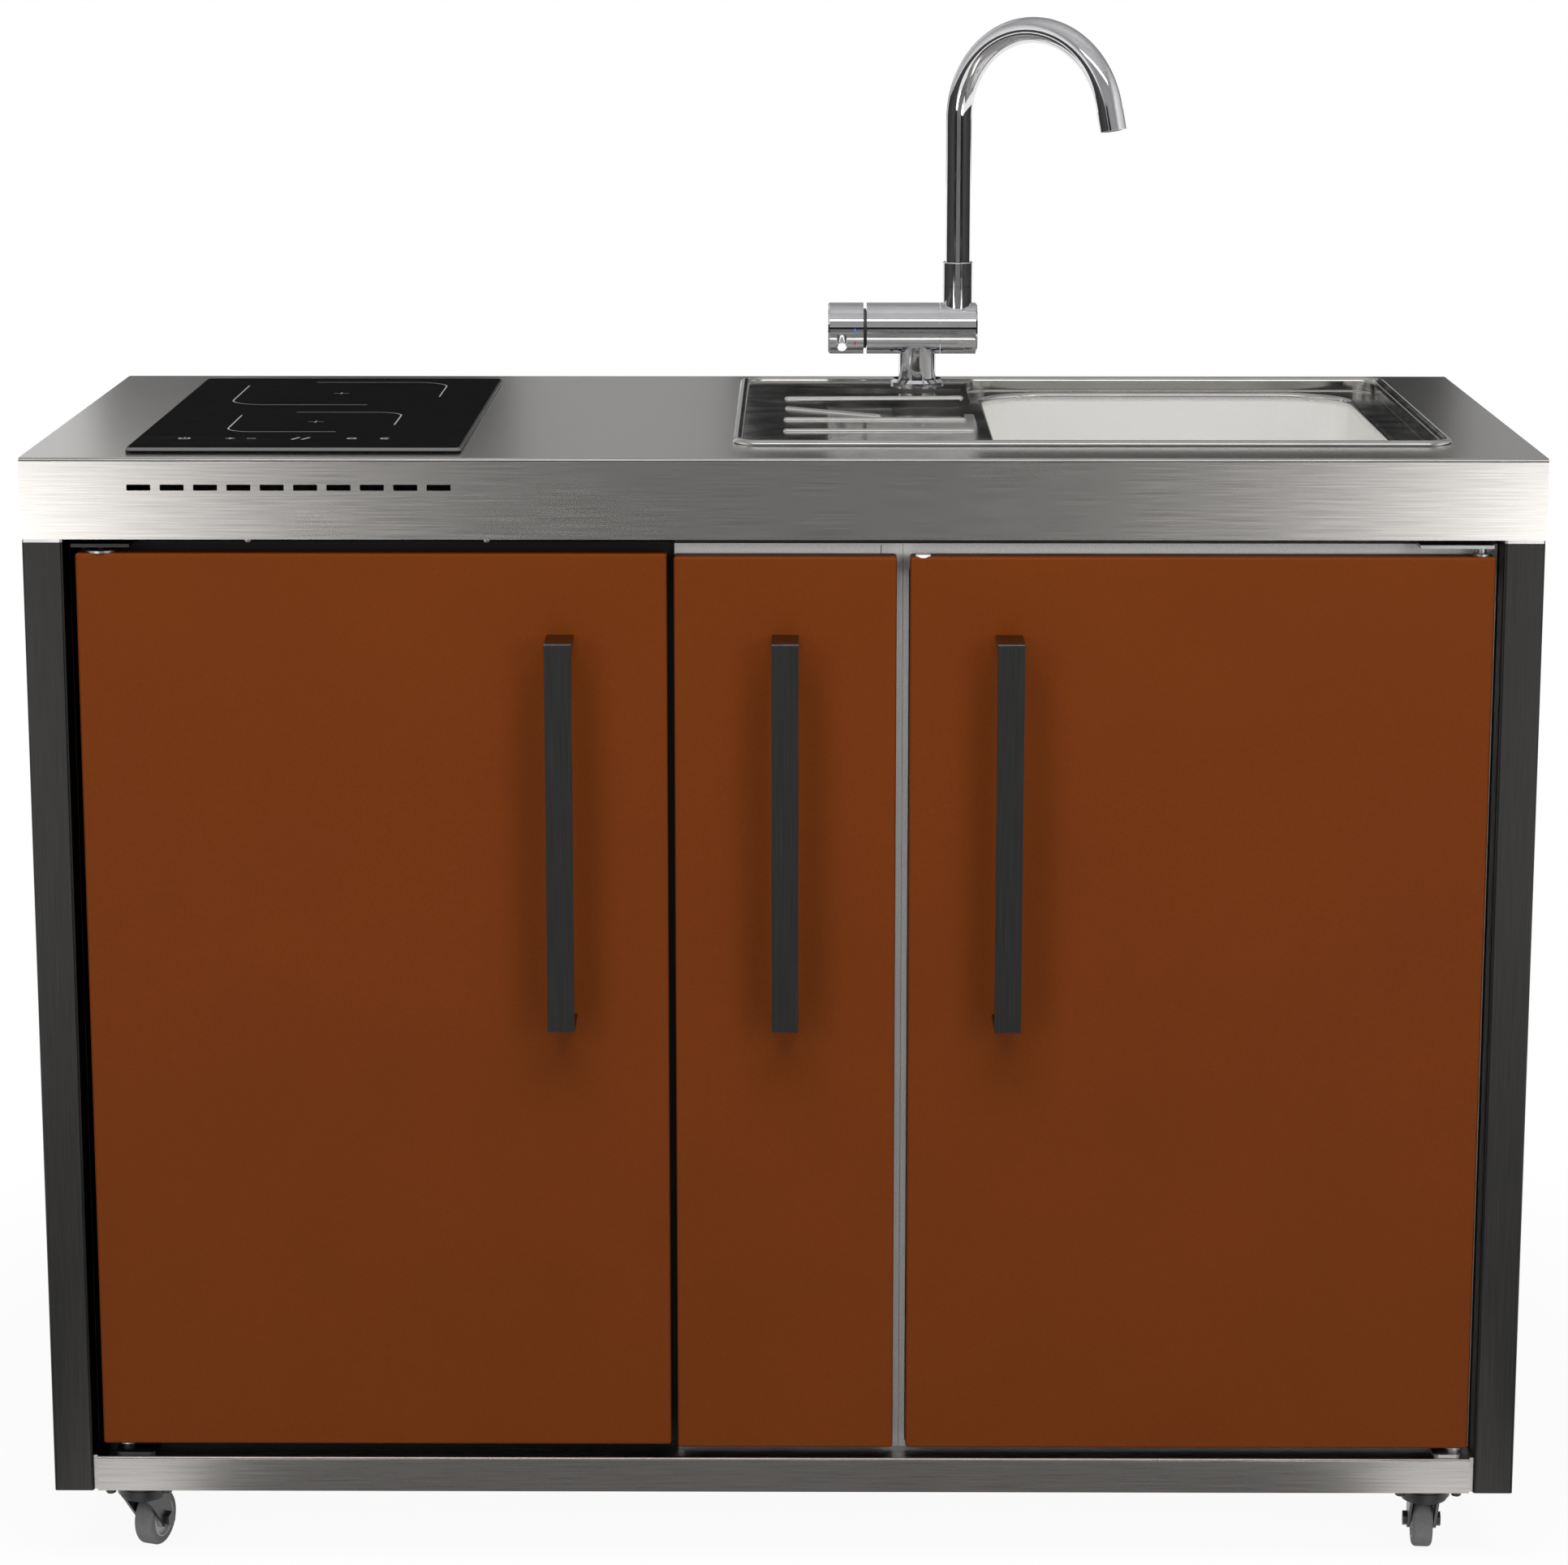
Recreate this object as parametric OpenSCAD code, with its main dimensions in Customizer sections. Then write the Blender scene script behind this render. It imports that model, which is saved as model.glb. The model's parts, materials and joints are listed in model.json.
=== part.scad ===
// Outdoor kitchen unit on casters: cold cabinet, pull-out and sink cabinet under one steel worktop.
// X runs from left to right, Y from front to back and Z up from the floor, in millimetres.
// The origin lies on the floor under the middle of the outline, handles included.

/* [Overall] */
// Width of the worktop
unit_w = 1300; // [1260:5:1400]
// Depth of the worktop
unit_d = 600; // [590:5:660]

/* [Worktop] */
// Height of the fascia round the worktop
fascia_h = 70; // [60:1:90]
// Thickness of the steel sheet of the worktop, tray and panels
sheet_t = 1.5; // [1.2:0.1:2]
// Outer radius of the bends in the worktop and the tray
bend_r = 3; // [2.5:0.5:5]
// Width of the lips under the fascias
lip_w = 20; // [12:1:24]
// Number of vent slots in the front fascia
slot_n = 10; // [4:1:12]
// Length of a vent slot
slot_l = 20.5; // [14:0.5:24]
// Height of a vent slot
slot_h = 5.2; // [3:0.2:8]
// Corner radius of a vent slot
slot_r = 0.8; // [0.4:0.1:1.4]
// Distance from one vent slot to the next
slot_pitch = 28.4; // [27:0.2:34]
// Distance from the left end of the worktop to the first slot's centre
slot_side = 101.6; // [60:0.2:140]
// Distance from the top of the worktop down to the slots' centres
slot_drop = 25.4; // [16:0.2:40]

/* [Legs and base] */
// Width of the square leg tube
leg_w = 35; // [30:1:40]
// Wall of the leg tube
leg_t = 2; // [1.5:0.1:3]
// Corner radius of the leg tube
leg_r = 2.5; // [1:0.5:5]
// Height from the underside of the tray to the fascia
leg_h = 859; // [820:1:900]
// Distance from the fascia's face back to the leg's face
leg_set = 2; // [1:0.5:4]
// Thickness of the plates that close and carry things at the legs and the tray's corners
plate_t = 3; // [2.5:0.5:5]
// Height of the base tray
tray_h = 32; // [26:1:44]
// Width of the lips under the tray
tray_lip = 15; // [10:1:24]
// Thickness of the tray's end plates, which fill the gap to the legs
tab_t = 3.7; // [2:0.1:6]
// Side of the square pads in the tray's corners that carry the casters
pad_w = 84; // [72:1:100]

/* [Casters] */
// Height from the floor to the underside of the tray
caster_h = 72; // [70:1:80]
// Diameter of the wheel over its tyre
wheel_d = 50; // [46:1:52]
// Width of the tyre
wheel_w = 18; // [14:1:20]
// Diameter of the wheel's hub, under the tyre
hub_d = 36; // [30:1:40]
// Distance from the swivel axis back to the axle
trail = 20; // [16:1:22]
// Side of the caster's square top plate
caster_plate = 60; // [54:1:64]
// Thickness of the caster's top plate
caster_plate_t = 2.5; // [2:0.5:4]
// Distance from the worktop's end to the swivel axis
caster_side = 73; // [70:1:90]
// Distance from the fascia to the swivel axis
caster_in = 40; // [36:1:60]
// Diameter of the swivel races
race_d = 45; // [40:1:50]
// Diameter of the king pin
king_d = 10; // [8:0.5:12]
// Diameter of the axle
axle_d = 8; // [6:0.5:10]
// Thickness of the fork's arms
fork_t = 2.5; // [2:0.5:3.5]
// How far each caster is turned at rest: front left
turn_fl = 20; // [-180:1:180]
// How far the front right caster is turned at rest
turn_fr = 4; // [-180:1:180]
// How far the back left caster is turned at rest
turn_bl = 160; // [-180:1:180]
// How far the back right caster is turned at rest
turn_br = -170; // [-180:1:180]

/* [Doors] */
// Width of the cold cabinet's door
door_l_w = 506; // [490:1:530]
// Width of the pull-out's front
door_m_w = 191; // [180:1:220]
// Thickness of the doors and the front
door_t = 20; // [18:0.5:22]
// Thickness of the coated sheet of the doors
panel_t = 1.2; // [1:0.1:1.5]
// Thickness of the sheets that close the doors' backs
back_t = 2; // [1:0.5:3]
// Outer radius of the door sheet's bends
panel_r = 2.5; // [2:0.5:4]
// Distance from the fascia's face back to the doors' faces
door_set = 5; // [3:0.5:8]
// Gap between the left leg and the cold cabinet's door
gap_l = 9.5; // [8:0.5:14]
// Gap between the cold cabinet's door and the pull-out's front
gap_lm = 6; // [5:0.5:10]
// Gap between the pull-out's front and the sink cabinet's door
gap_mr = 11.5; // [10:0.5:16]
// Gap between the sink cabinet's door and the right leg
gap_r = 6; // [5.5:0.5:12]
// Gap between the tray and the doors
gap_low = 11; // [9:0.5:16]
// Gap between the doors and the fascia
gap_high = 13; // [11:0.5:18]
// Distance by which the pull-out's front and the sink cabinet's door hang lower than the left door
door_drop = 2.5; // [0:0.5:4]
// Diameter of the white buffer in the sink cabinet's door
buffer_d = 13; // [10:0.5:16]
// Distance from that door's left edge to the buffer's axis
buffer_side = 11; // [10:0.5:30]
// Distance from that door's face back to the buffer's front
buffer_set = 0.5; // [0.3:0.1:5]
// Diameter of the buffer's barrel in the door's upper return
buffer_in_d = 8; // [6:0.5:9]
// Length of that barrel
buffer_l = 8; // [5:0.5:12]
// Depth of the buffer's head in the door's upper bend
buffer_sunk = 0.8; // [0.4:0.1:1]
// Height of the buffer's head over the door
buffer_rise = 1.2; // [0.8:0.2:2.4]
// Gap round the buffer in its hole
buffer_gap = 0.05; // [0.02:0.01:0.1]

/* [Hinges] */
// Diameter of the hinge pins
pin_d = 8; // [6:0.5:9]
// Running clearance round pins, shafts and spigots, on the radius
run_gap = 0.05; // [0.02:0.01:0.1]
// Distance from the left door's outer edge to its pivot
pivot_l_x = 20.5; // [18:0.5:24]
// Distance from the left door's face back to its pivot
pivot_l_y = 13; // [11:0.5:14]
// Distance from the right door's outer edge to its pivot
pivot_r_x = 11; // [10:0.5:12]
// Distance from the right door's face back to its pivot
pivot_r_y = 11; // [10:0.5:12]
// Outer diameter of the bushes in the doors
bush_d = 12; // [11:0.5:14]
// Depth of the bushes in the doors
bush_l = 20; // [14:1:30]
// Width of the left door's upper hinge plate
plate_up_l = 50; // [44:1:60]
// Width of the right door's upper hinge plate
plate_up_r = 63; // [44:1:70]
// Depth of the upper hinge plates on the cabinets
plate_up_d = 44; // [36:1:60]
// Width of the left door's lower hinge plate
plate_low_l = 36; // [30:1:44]
// Width of the right door's lower hinge plate
plate_low_r = 25; // [22:1:40]
// Diameter of the silver disc on the left door's upper bush
disc_d = 28; // [22:1:30]
// Thickness of the bushes' discs
disc_t = 2; // [1.5:0.5:2.5]

/* [Handles] */
// Length of a handle
handle_len = 341; // [200:1:400]
// Width of a handle's flat bar
handle_w = 23; // [16:1:30]
// Thickness of a handle's bar
handle_t = 5; // [4:0.5:8]
// Distance from the door's face to the handle's front
handle_reach = 45; // [35:1:60]
// Radius of a handle's outer corners
handle_r = 2; // [1:0.5:3.5]
// Radius of the fillets inside a handle's corners
handle_fillet = 8; // [3:0.5:14]
// Distance from the door's top to the handle's top
handle_drop = 70; // [50:1:120]
// Distance from the left door's free edge to its handle's centre
handle_in_l = 91.5; // [60:0.5:120]
// Distance from the right door's free edge to its handle's centre
handle_in_r = 85; // [60:1:120]

/* [Hob] */
// Width of the hob's glass
hob_w = 288; // [270:1:300]
// Depth of the hob's glass
hob_d = 508; // [480:1:520]
// Thickness of the glass
glass_t = 4; // [3:0.5:6]
// Corner radius of the glass
glass_r = 5; // [3:1:10]
// Bevel along the glass's top edges
glass_bevel = 1.5; // [0.5:0.25:2.5]
// Distance from the worktop's left end to the glass
hob_side = 85.5; // [60:0.5:110]
// Distance from the fascia to the glass
hob_front = 31; // [26:1:60]
// Width of the glass that lies on the worktop round the cut-out
hob_rest = 9; // [6:1:14]
// Depth of the hob's steel box below the worktop's top
hob_box_h = 46; // [36:1:56]
// Thickness of the hob's box's sheet
hob_box_t = 1; // [0.8:0.1:1.5]
// Thickness of the sealing flange under the glass
seal_t = 0.5; // [0.4:0.1:1]

/* [Sink] */
// Width of the sink over its rim
sink_w = 628; // [610:1:640]
// Depth of the sink over its rim
sink_d = 482; // [470:1:500]
// Corner radius of the sink's rim
sink_r = 25; // [20:1:40]
// Distance from the worktop's right end to the sink
sink_side = 67; // [55:1:80]
// Distance from the fascia to the sink
sink_front = 77; // [60:1:90]
// Thickness of the sink's sheet
sink_t = 1; // [0.8:0.1:1.5]
// Radius of the half-round bead of the rim
bead_r = 5; // [4:0.5:6]
// Height of the drainer deck above the worktop
deck_z = 1.5; // [1.2:0.1:2]
// Width of the drainer, from the sink's left edge to the stepped ledge
drainer_w = 218; // [200:1:230]
// Margin between the sink's edge and the stepped ledge on the other sides
step_margin = 14; // [12:1:18]
// Corner radius of the step
step_r = 26; // [16:1:40]
// Height of the ledge below the worktop's top
step_h = 8; // [6:0.5:12]
// Width of the ledge at the left of the bowl
ledge_l = 15; // [10:1:24]
// Width of the ledge at the right of the bowl
ledge_r = 29; // [14:1:40]
// Width of the ledge in front of the bowl
ledge_f = 20; // [12:1:30]
// Width of the ledge behind the bowl
ledge_b = 15; // [10:1:30]
// Corner radius of the bowl
bowl_r = 65; // [45:1:80]
// Depth of the bowl below the ledge
bowl_h = 150; // [120:1:170]
// Radius between the bowl's walls and floor
bowl_floor_r = 30; // [15:1:40]
// Radius of the edge between ledge and bowl
lip_r = 4; // [2:0.5:5]
// Radius of the drainer's pressed ribs
rib_r = 3; // [2.2:0.2:4]
// Depth of the sunk gutter in the drainer
gutter_h = 4; // [2:0.5:5]
// Depth of the spillway from the gutter into the bowl
spill_h = 8; // [7:0.5:9]

/* [Tap] */
// Distance from the sink's left edge to the tap
tap_side = 172; // [150:1:180]
// Distance from the sink's back edge to the tap
tap_back = 39; // [38:1:44]
// Diameter of the tap's flange
flange_d = 52; // [44:1:54]
// Thickness of the flange
flange_t = 6; // [4:0.5:8]
// Diameter of the neck
neck_d = 36.3; // [30:0.1:42]
// Height of the barrel's axis above the worktop
barrel_z = 55.8; // [48:0.1:70]
// Diameter of the barrel
barrel_d = 49.5; // [44:0.5:56]
// Length of the barrel to the left of the neck's axis
barrel_left = 49.2; // [44:0.1:60]
// Length of the barrel to the right of the neck's axis
barrel_right = 21.5; // [19:0.1:30]
// Width of the ring gap between barrel and handle
ring_gap = 3.1; // [3:0.1:4]
// Length of the tap's handle
knob_l = 34.1; // [32:0.1:44]
// Diameter of the pin lever on the handle
lever_d = 10; // [7:0.5:12]
// How far the pin lever stands out of the handle
lever_l = 20; // [12:1:40]
// Angle of the pin lever below the horizontal
lever_tilt = 18; // [0:1:40]
// Diameter of the cartridge
cartridge_d = 34; // [28:1:38]
// Length of the cartridge in the barrel
cartridge_l = 24; // [16:1:30]
// Diameter of the tilting pin through the cartridge's stem
tilt_pin_d = 5; // [3:0.5:6]
// Diameter of the spigot that the elbow folds on
fold_d = 30; // [24:1:34]
// Length of the spigot that the elbow folds on
fold_l = 12; // [8:1:14]
// Length of the elbow
elbow_l = 36; // [34:0.5:44]
// Diameter of the collars under and on the spout
collar_d = 29; // [27:0.5:31]
// Height of the seam between the collars above the worktop
collar_z = 96.9; // [90:0.1:110]
// Length of the spout's own collar
collar_l = 23; // [18:1:30]
// Diameter of the spigot that the spout swivels on
swivel_d = 19; // [15:0.5:20]
// Diameter of the spout's tube
spout_d = 24.3; // [20:0.1:26]
// Wall of the spout's tube
spout_t = 2; // [1:0.1:3]
// Height above the worktop where the spout starts to bend
spout_z = 256; // [200:1:300]
// Radius of the spout's bend
spout_r = 86.9; // [60:0.1:100]
// Angle of the spout's bend
spout_bend = 168; // [150:1:178]
// How far the spout is turned towards the front at rest
spout_turn = 37.5; // [0:0.5:60]
// Length of the aerator
aerator_l = 19; // [14:1:26]
// Diameter of the aerator
aerator_d = 25; // [24.8:0.1:27]
// Diameter of the threaded shank under the tap
shank_d = 33; // [28:1:33]
// Length of the shank below the worktop's top
shank_l = 45; // [36:1:60]
// Diameter of the bore in the shank for the supply tails
supply_d = 24; // [18:1:26]

/* [Cold cabinet] */
// Thickness of the cold cabinet's insulated walls
wall_t = 35; // [28:1:40]
// Thickness of the cold cabinet's outer skin
case_t = 1; // [0.8:0.1:1.5]
// Depth of the cold cabinet
cold_d = 498; // [460:1:510]
// Distance from the fascia to the cold cabinet's front
cold_front = 42; // [41:0.5:50]
// Thickness of the white liner
liner_t = 2; // [1.5:0.5:3]
// Corner radius of the liner
liner_r = 12; // [6:1:20]
// Thickness of the inner door's sheet
inner_t = 3; // [2:0.5:4]
// Width of the door gasket
gasket_w = 12; // [10:1:13]
// Gap that the gasket keeps to the case
gasket_gap = 0.8; // [0.3:0.1:1]
// Thickness of a shelf
shelf_t = 5; // [4:0.5:8]
// Depth of the door racks
rack_d = 90; // [60:1:95]
// Height of the bin at the bottom
bin_h = 150; // [110:1:180]
// Width of the thermostat's box
thermo_w = 130; // [110:1:160]
// Depth of the thermostat's box
thermo_d = 70; // [50:1:80]
// Height of the thermostat's box
thermo_h = 30; // [26:1:40]
// Corner radius of the thermostat's box
thermo_r = 6; // [3:1:10]
// Distance from the shelves' front to the middle of the thermostat's box
thermo_set = 60; // [45:1:90]
// Diameter of the thermostat's knob
dial_d = 22; // [18:1:24]
// Length of the thermostat's knob
dial_l = 9; // [5:0.5:12]
// Distance from the right end of the thermostat's box to its knob's axis
dial_in = 35; // [20:1:50]

/* [Sheet cabinets] */
// Thickness of the cabinets' sheet
cab_t = 1.2; // [1:0.1:1.5]
// Distance from the fascia to the cabinets' front edges
cab_front = 33; // [32:0.5:36]
// Depth of the cabinets
cab_d = 522; // [480:1:526]
// Gap between the cabinets' tops and the fascia
cab_gap_high = 8; // [6:0.5:9]
// Width of the cabinets' front flanges
cab_flange = 5; // [3:0.5:6]
// Height of the flange that hangs from the cabinets' top rails
rail_drop = 22; // [16:1:40]
// Distance from a cabinet's right side to the butt joint in its rail's flange
rail_joint = 19; // [12:0.5:40]
// Width of that butt joint
rail_gap = 0.6; // [0.4:0.1:1]
// Gap between one cabinet and the next
cab_gap = 0.3; // [0.2:0.1:1]
// Gap between the sink cabinet and the right side panel
cab_side = 1; // [0.5:0.5:4]

/* [Pull-out] */
// Length of the runners
runner_l = 450; // [400:5:460]
// Height of the fixed runner member
runner_h = 45; // [40:1:50]
// Thickness of the runners' sheet
runner_t = 1.2; // [1:0.1:1.4]
// Sliding gap between runner members
slide_gap = 0.3; // [0.2:0.05:0.4]
// Height of a basket
basket_h = 110; // [90:1:140]
// Height of the lower runners' centre above the tray
runner_low = 66; // [60:1:100]
// Distance from the lower to the upper runners
runner_step = 380; // [300:5:480]

/* [Waste] */
// Diameter of the drain hole in the bowl
drain_d = 60; // [50:1:64]
// Diameter of the strainer's flange
strainer_d = 84; // [76:1:90]
// Diameter of the waste pipe
pipe_d = 40; // [32:1:50]
// Height of the outlet pipe below the worktop's top
pipe_drop = 262; // [250:1:300]
// Gap between the outlet pipe's end and the back face
pipe_end = 10; // [6:1:30]

/* [Hidden] */
$fn = 48;
e = 1;
handle_out = handle_reach - door_set;
front = -(unit_d - handle_out) / 2;
back = front + unit_d;
tray_top = caster_h + tray_h;
fascia_z = caster_h + leg_h;
top = fascia_z + fascia_h;
inner = unit_w / 2 - leg_w;
leg_y = unit_d / 2 - leg_set - leg_w / 2;
mid_y = front + unit_d / 2;
frame_d = unit_d - 2 * leg_set;

door_z = tray_top + gap_low;
door_top = fascia_z - gap_high;
door_h = door_top - door_z;
door_y = front + door_set;
door_back = door_y + door_t;
door_l_x0 = gap_l - inner;
door_l_x1 = door_l_x0 + door_l_w;
door_m_x0 = door_l_x1 + gap_lm;
door_m_x1 = door_m_x0 + door_m_w;
door_r_x0 = door_m_x1 + gap_mr;
door_r_x1 = inner - gap_r;
door_r_w = door_r_x1 - door_r_x0;
pivot_l = [door_l_x0 + pivot_l_x, door_y + pivot_l_y];
pivot_r = [door_r_x1 - pivot_r_x, door_y + pivot_r_y];
buffer_x = door_r_x0 + buffer_side;
buffer_y = door_y + buffer_set + buffer_d / 2;
buffer_z = door_top - door_drop;

cab_top = fascia_z - cab_gap_high;
cab_h = cab_top - tray_top;
cold_x1 = door_m_x0 - cab_gap;
cab_m_x0 = door_m_x0;
cab_m_x1 = door_m_x1 + (gap_mr - cab_gap) / 2;
cab_r_x0 = cab_m_x1 + cab_gap;
cab_r_x1 = inner - cab_side;
cab_y = front + cab_front;
cold_y = front + cold_front;
bracket_t = 3;
bracket_gap = 0.3;

sink_cx = unit_w / 2 - sink_side - sink_w / 2;
sink_cy = front + sink_front + sink_d / 2;
deck_in = 2 * bead_r - 0.6 * sink_t;
step_w = sink_w - drainer_w - step_margin;
step_d = sink_d - 2 * step_margin;
step_x = sink_w / 2 - step_margin - step_w / 2;
bowl_w = step_w - ledge_l - ledge_r;
bowl_d = step_d - ledge_f - ledge_b;
bowl_x = step_x - step_w / 2 + ledge_l + bowl_w / 2;
bowl_y = -step_d / 2 + ledge_f + bowl_d / 2;
bowl_z = -step_h - bowl_h;
cut_in = 11;

tap_x = sink_cx - sink_w / 2 + tap_side;
tap_y = sink_cy + sink_d / 2 - tap_back;
elbow_x = barrel_right + elbow_l / 2 - 0.8;
knob_x = -barrel_left - ring_gap;
tilt_x = knob_x - 12.9;

hob_cx = -unit_w / 2 + hob_side + hob_w / 2;
hob_cy = front + hob_front + hob_d / 2;
hob_cut_gap = 3;

cold_cx = (door_l_x0 + door_l_x1) / 2;
cavity_w = door_l_w - 2 * wall_t;
cavity_h = cab_h - 2 * wall_t;
cavity_d = cold_d - wall_t - 5;
shelf_front = 103;
shelf_d = cavity_d - liner_t - shelf_front;

waste_x = sink_cx + bowl_x;
waste_y = sink_cy + bowl_y;
floor_z = top + bowl_z;
pipe_z = top - pipe_drop;
pipe_hole_d = pipe_d + 20;

rail_pad = cab_flange + 0.2;
rail_w = 12.7;
cab_m_cx = (cab_m_x0 + cab_m_x1) / 2;
basket_w = cab_m_x1 - cab_m_x0 - 2 * (cab_t + rail_pad + rail_w);
runner_y = cab_y + 8;
basket_y = door_back + 4;

steel = [0.76, 0.75, 0.73];
bright = [0.84, 0.84, 0.84];
graphite = [0.2, 0.19, 0.18];
copper_brown = [0.44, 0.22, 0.11];
white = [0.93, 0.93, 0.91];
black = [0.07, 0.07, 0.07];

// Rounded rectangle, centred
module rounded(w, d, r) {
    square([w - 2 * r, d], center = true);
    square([w, d - 2 * r], center = true);
    for (sx = [-1, 1], sy = [-1, 1])
        translate([sx * (w / 2 - r), sy * (d / 2 - r)])
            circle(r);
}

module plate(w, d, r, h) {
    linear_extrude(h)
        rounded(w, d, r);
}

// Obround slot, lying along X
module obround(l, h) {
    square([l - h, h], center = true);
    for (s = [-1, 1])
        translate([s * (l - h) / 2, 0])
            circle(h / 2);
}

// Quarter of a bent sheet's ring, in the upper left quadrant
module quarter_bend(r, t) {
    intersection() {
        difference() {
            circle(r);
            circle(r - t);
        }
        translate([-r, 0])
            square([r, r]);
    }
}

module half_round(r) {
    intersection() {
        circle(r);
        translate([-r, 0])
            square([2 * r, r]);
    }
}

// Carries a section round a rounded rectangle: section x is counted from the corner's axis
module sweep_round(w, d, r) {
    for (i = [0:3])
        rotate([0, 0, 90 * i])
            translate([(i % 2 == 0 ? w : d) / 2 - r, (i % 2 == 0 ? d : w) / 2 - r, 0]) {
                rotate_extrude(angle = 90)
                    children();
                rotate([90, 0, 0])
                    linear_extrude((i % 2 == 0 ? d : w) - 2 * r)
                        children();
            }
}

// Solid cup with rounded corners and a rounded bottom edge, from z0 up to z1
module cup(w, d, r, f, z0, z1) {
    translate([0, 0, z0]) {
        sweep_round(w, d, r) {
            translate([0, f])
                square([r, z1 - z0 - f]);
            square([r - f, f + 0.01]);
            translate([r - f, f])
                intersection() {
                    circle(f);
                    translate([0, -f])
                        square([f, f]);
                }
        }
        linear_extrude(z1 - z0)
            square([w - 2 * r, d - 2 * r], center = true);
    }
}

// Folded pan lying face down, with its rim standing up
module pan(w, h, d, t, r) {
    sweep_round(w, h, r) {
        translate([r - t, r])
            square([t, d - r]);
        translate([0, r])
            rotate(180)
                quarter_bend(r, t);
    }
    linear_extrude(t)
        square([w - 2 * r, h - 2 * r], center = true);
}

// Turns a shape that lies flat so that its top points backwards
module stand_up() {
    rotate([-90, 0, 0])
        children();
}

// Section of a sheet bent to a downward channel, x to the back and y up
module channel(w, h, t, r, lip) {
    translate([r, -t])
        square([w - 2 * r, t]);
    for (m = [0, 1])
        translate([m * w, 0])
            mirror([m, 0]) {
                translate([0, -h])
                    square([t, h - r]);
                translate([0, -h])
                    square([lip, t]);
                translate([r, -r])
                    quarter_bend(r, t);
            }
}

module channel_end(w, h, r) {
    translate([0, -h])
        square([w, h - r]);
    translate([r, -r])
        square([w - 2 * r, r]);
    for (x = [r, w - r])
        translate([x, -r])
            circle(r);
}

// Extrudes a section with x to the back and y up along X
module along_x(l) {
    translate([-l / 2, 0, 0])
        rotate([90, 0, 90])
            linear_extrude(l)
                children();
}

// Pipe along X, centred on its axis, starting at x = 0
module rod_x(d, l) {
    rotate([0, 90, 0])
        cylinder(d = d, h = l);
}

module worktop() {
    color(steel)
        difference() {
            translate([0, front, top]) {
                along_x(unit_w)
                    channel(unit_d, fascia_h, sheet_t, bend_r, lip_w);
                for (s = [-1, 1]) {
                    translate([s * (unit_w - sheet_t) / 2, 0, 0])
                        along_x(sheet_t)
                            channel_end(unit_d, fascia_h, bend_r);
                    translate([s * (unit_w - lip_w) / 2 - lip_w / 2, 0, -fascia_h])
                        cube([lip_w, unit_d, sheet_t]);
                }
            }
            translate([hob_cx, hob_cy, top - 2 * sheet_t])
                plate(hob_w - 2 * hob_rest, hob_d - 2 * hob_rest, glass_r, 3 * sheet_t);
            translate([sink_cx, sink_cy, top - 2 * sheet_t])
                plate(sink_w - 2 * cut_in, sink_d - 2 * cut_in, sink_r - cut_in, 3 * sheet_t);
            for (i = [0:slot_n - 1])
                translate([slot_side - unit_w / 2 + i * slot_pitch, front + bend_r, top - slot_drop])
                    rotate([90, 0, 0])
                        linear_extrude(2 * bend_r)
                            rounded(slot_l, slot_h, slot_r);
        }
}

module leg_plates() {
    color(bright)
        for (sx = [-1, 1], sy = [-1, 1])
            translate([sx * (unit_w - leg_w) / 2, mid_y + sy * leg_y, fascia_z - plate_t])
                plate(leg_w, leg_w, leg_r, plate_t);
}

// Leg tube with its foot plate
module leg(sx, sy) {
    color(graphite)
        translate([sx * (unit_w - leg_w) / 2, mid_y + sy * leg_y, caster_h])
            difference() {
                plate(leg_w, leg_w, leg_r, leg_h - plate_t);
                translate([0, 0, plate_t])
                    plate(leg_w - 2 * leg_t, leg_w - 2 * leg_t, leg_r / 3, leg_h);
            }
}

module tray() {
    tray_w = 2 * (inner - tab_t);
    tab_set = bend_r + 1;
    color(steel) {
        translate([0, front + leg_set, tray_top])
            along_x(tray_w)
                channel(frame_d, tray_h, sheet_t, bend_r, tray_lip);
        for (s = [-1, 1])
            translate([s * (inner - tab_t / 2) - tab_t / 2, front + leg_set + tab_set, caster_h])
                cube([tab_t, frame_d - 2 * tab_set, tray_h]);
        for (sx = [-1, 1], sy = [-1, 1])
            translate([sx * (tray_w - pad_w) / 2 - pad_w / 2,
                    mid_y + sy * (frame_d - pad_w) / 2 - pad_w / 2, caster_h])
                cube([pad_w, pad_w, plate_t]);
    }
}

// Folded side panel between the legs, its rim towards the cabinets
module side_panel(s) {
    panel_d = unit_d - 2 * leg_set - 2 * leg_w;
    rim = leg_w - leg_set;
    x0 = unit_w / 2 - leg_set - rim;
    color(black)
        mirror([s < 0 ? 1 : 0, 0, 0])
            difference() {
                translate([x0, mid_y - panel_d / 2, caster_h])
                    cube([rim, panel_d, leg_h]);
                translate([x0 - e, mid_y - panel_d / 2 + sheet_t, caster_h + sheet_t])
                    cube([rim - sheet_t + e, panel_d - 2 * sheet_t, leg_h - 2 * sheet_t]);
            }
}

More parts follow.
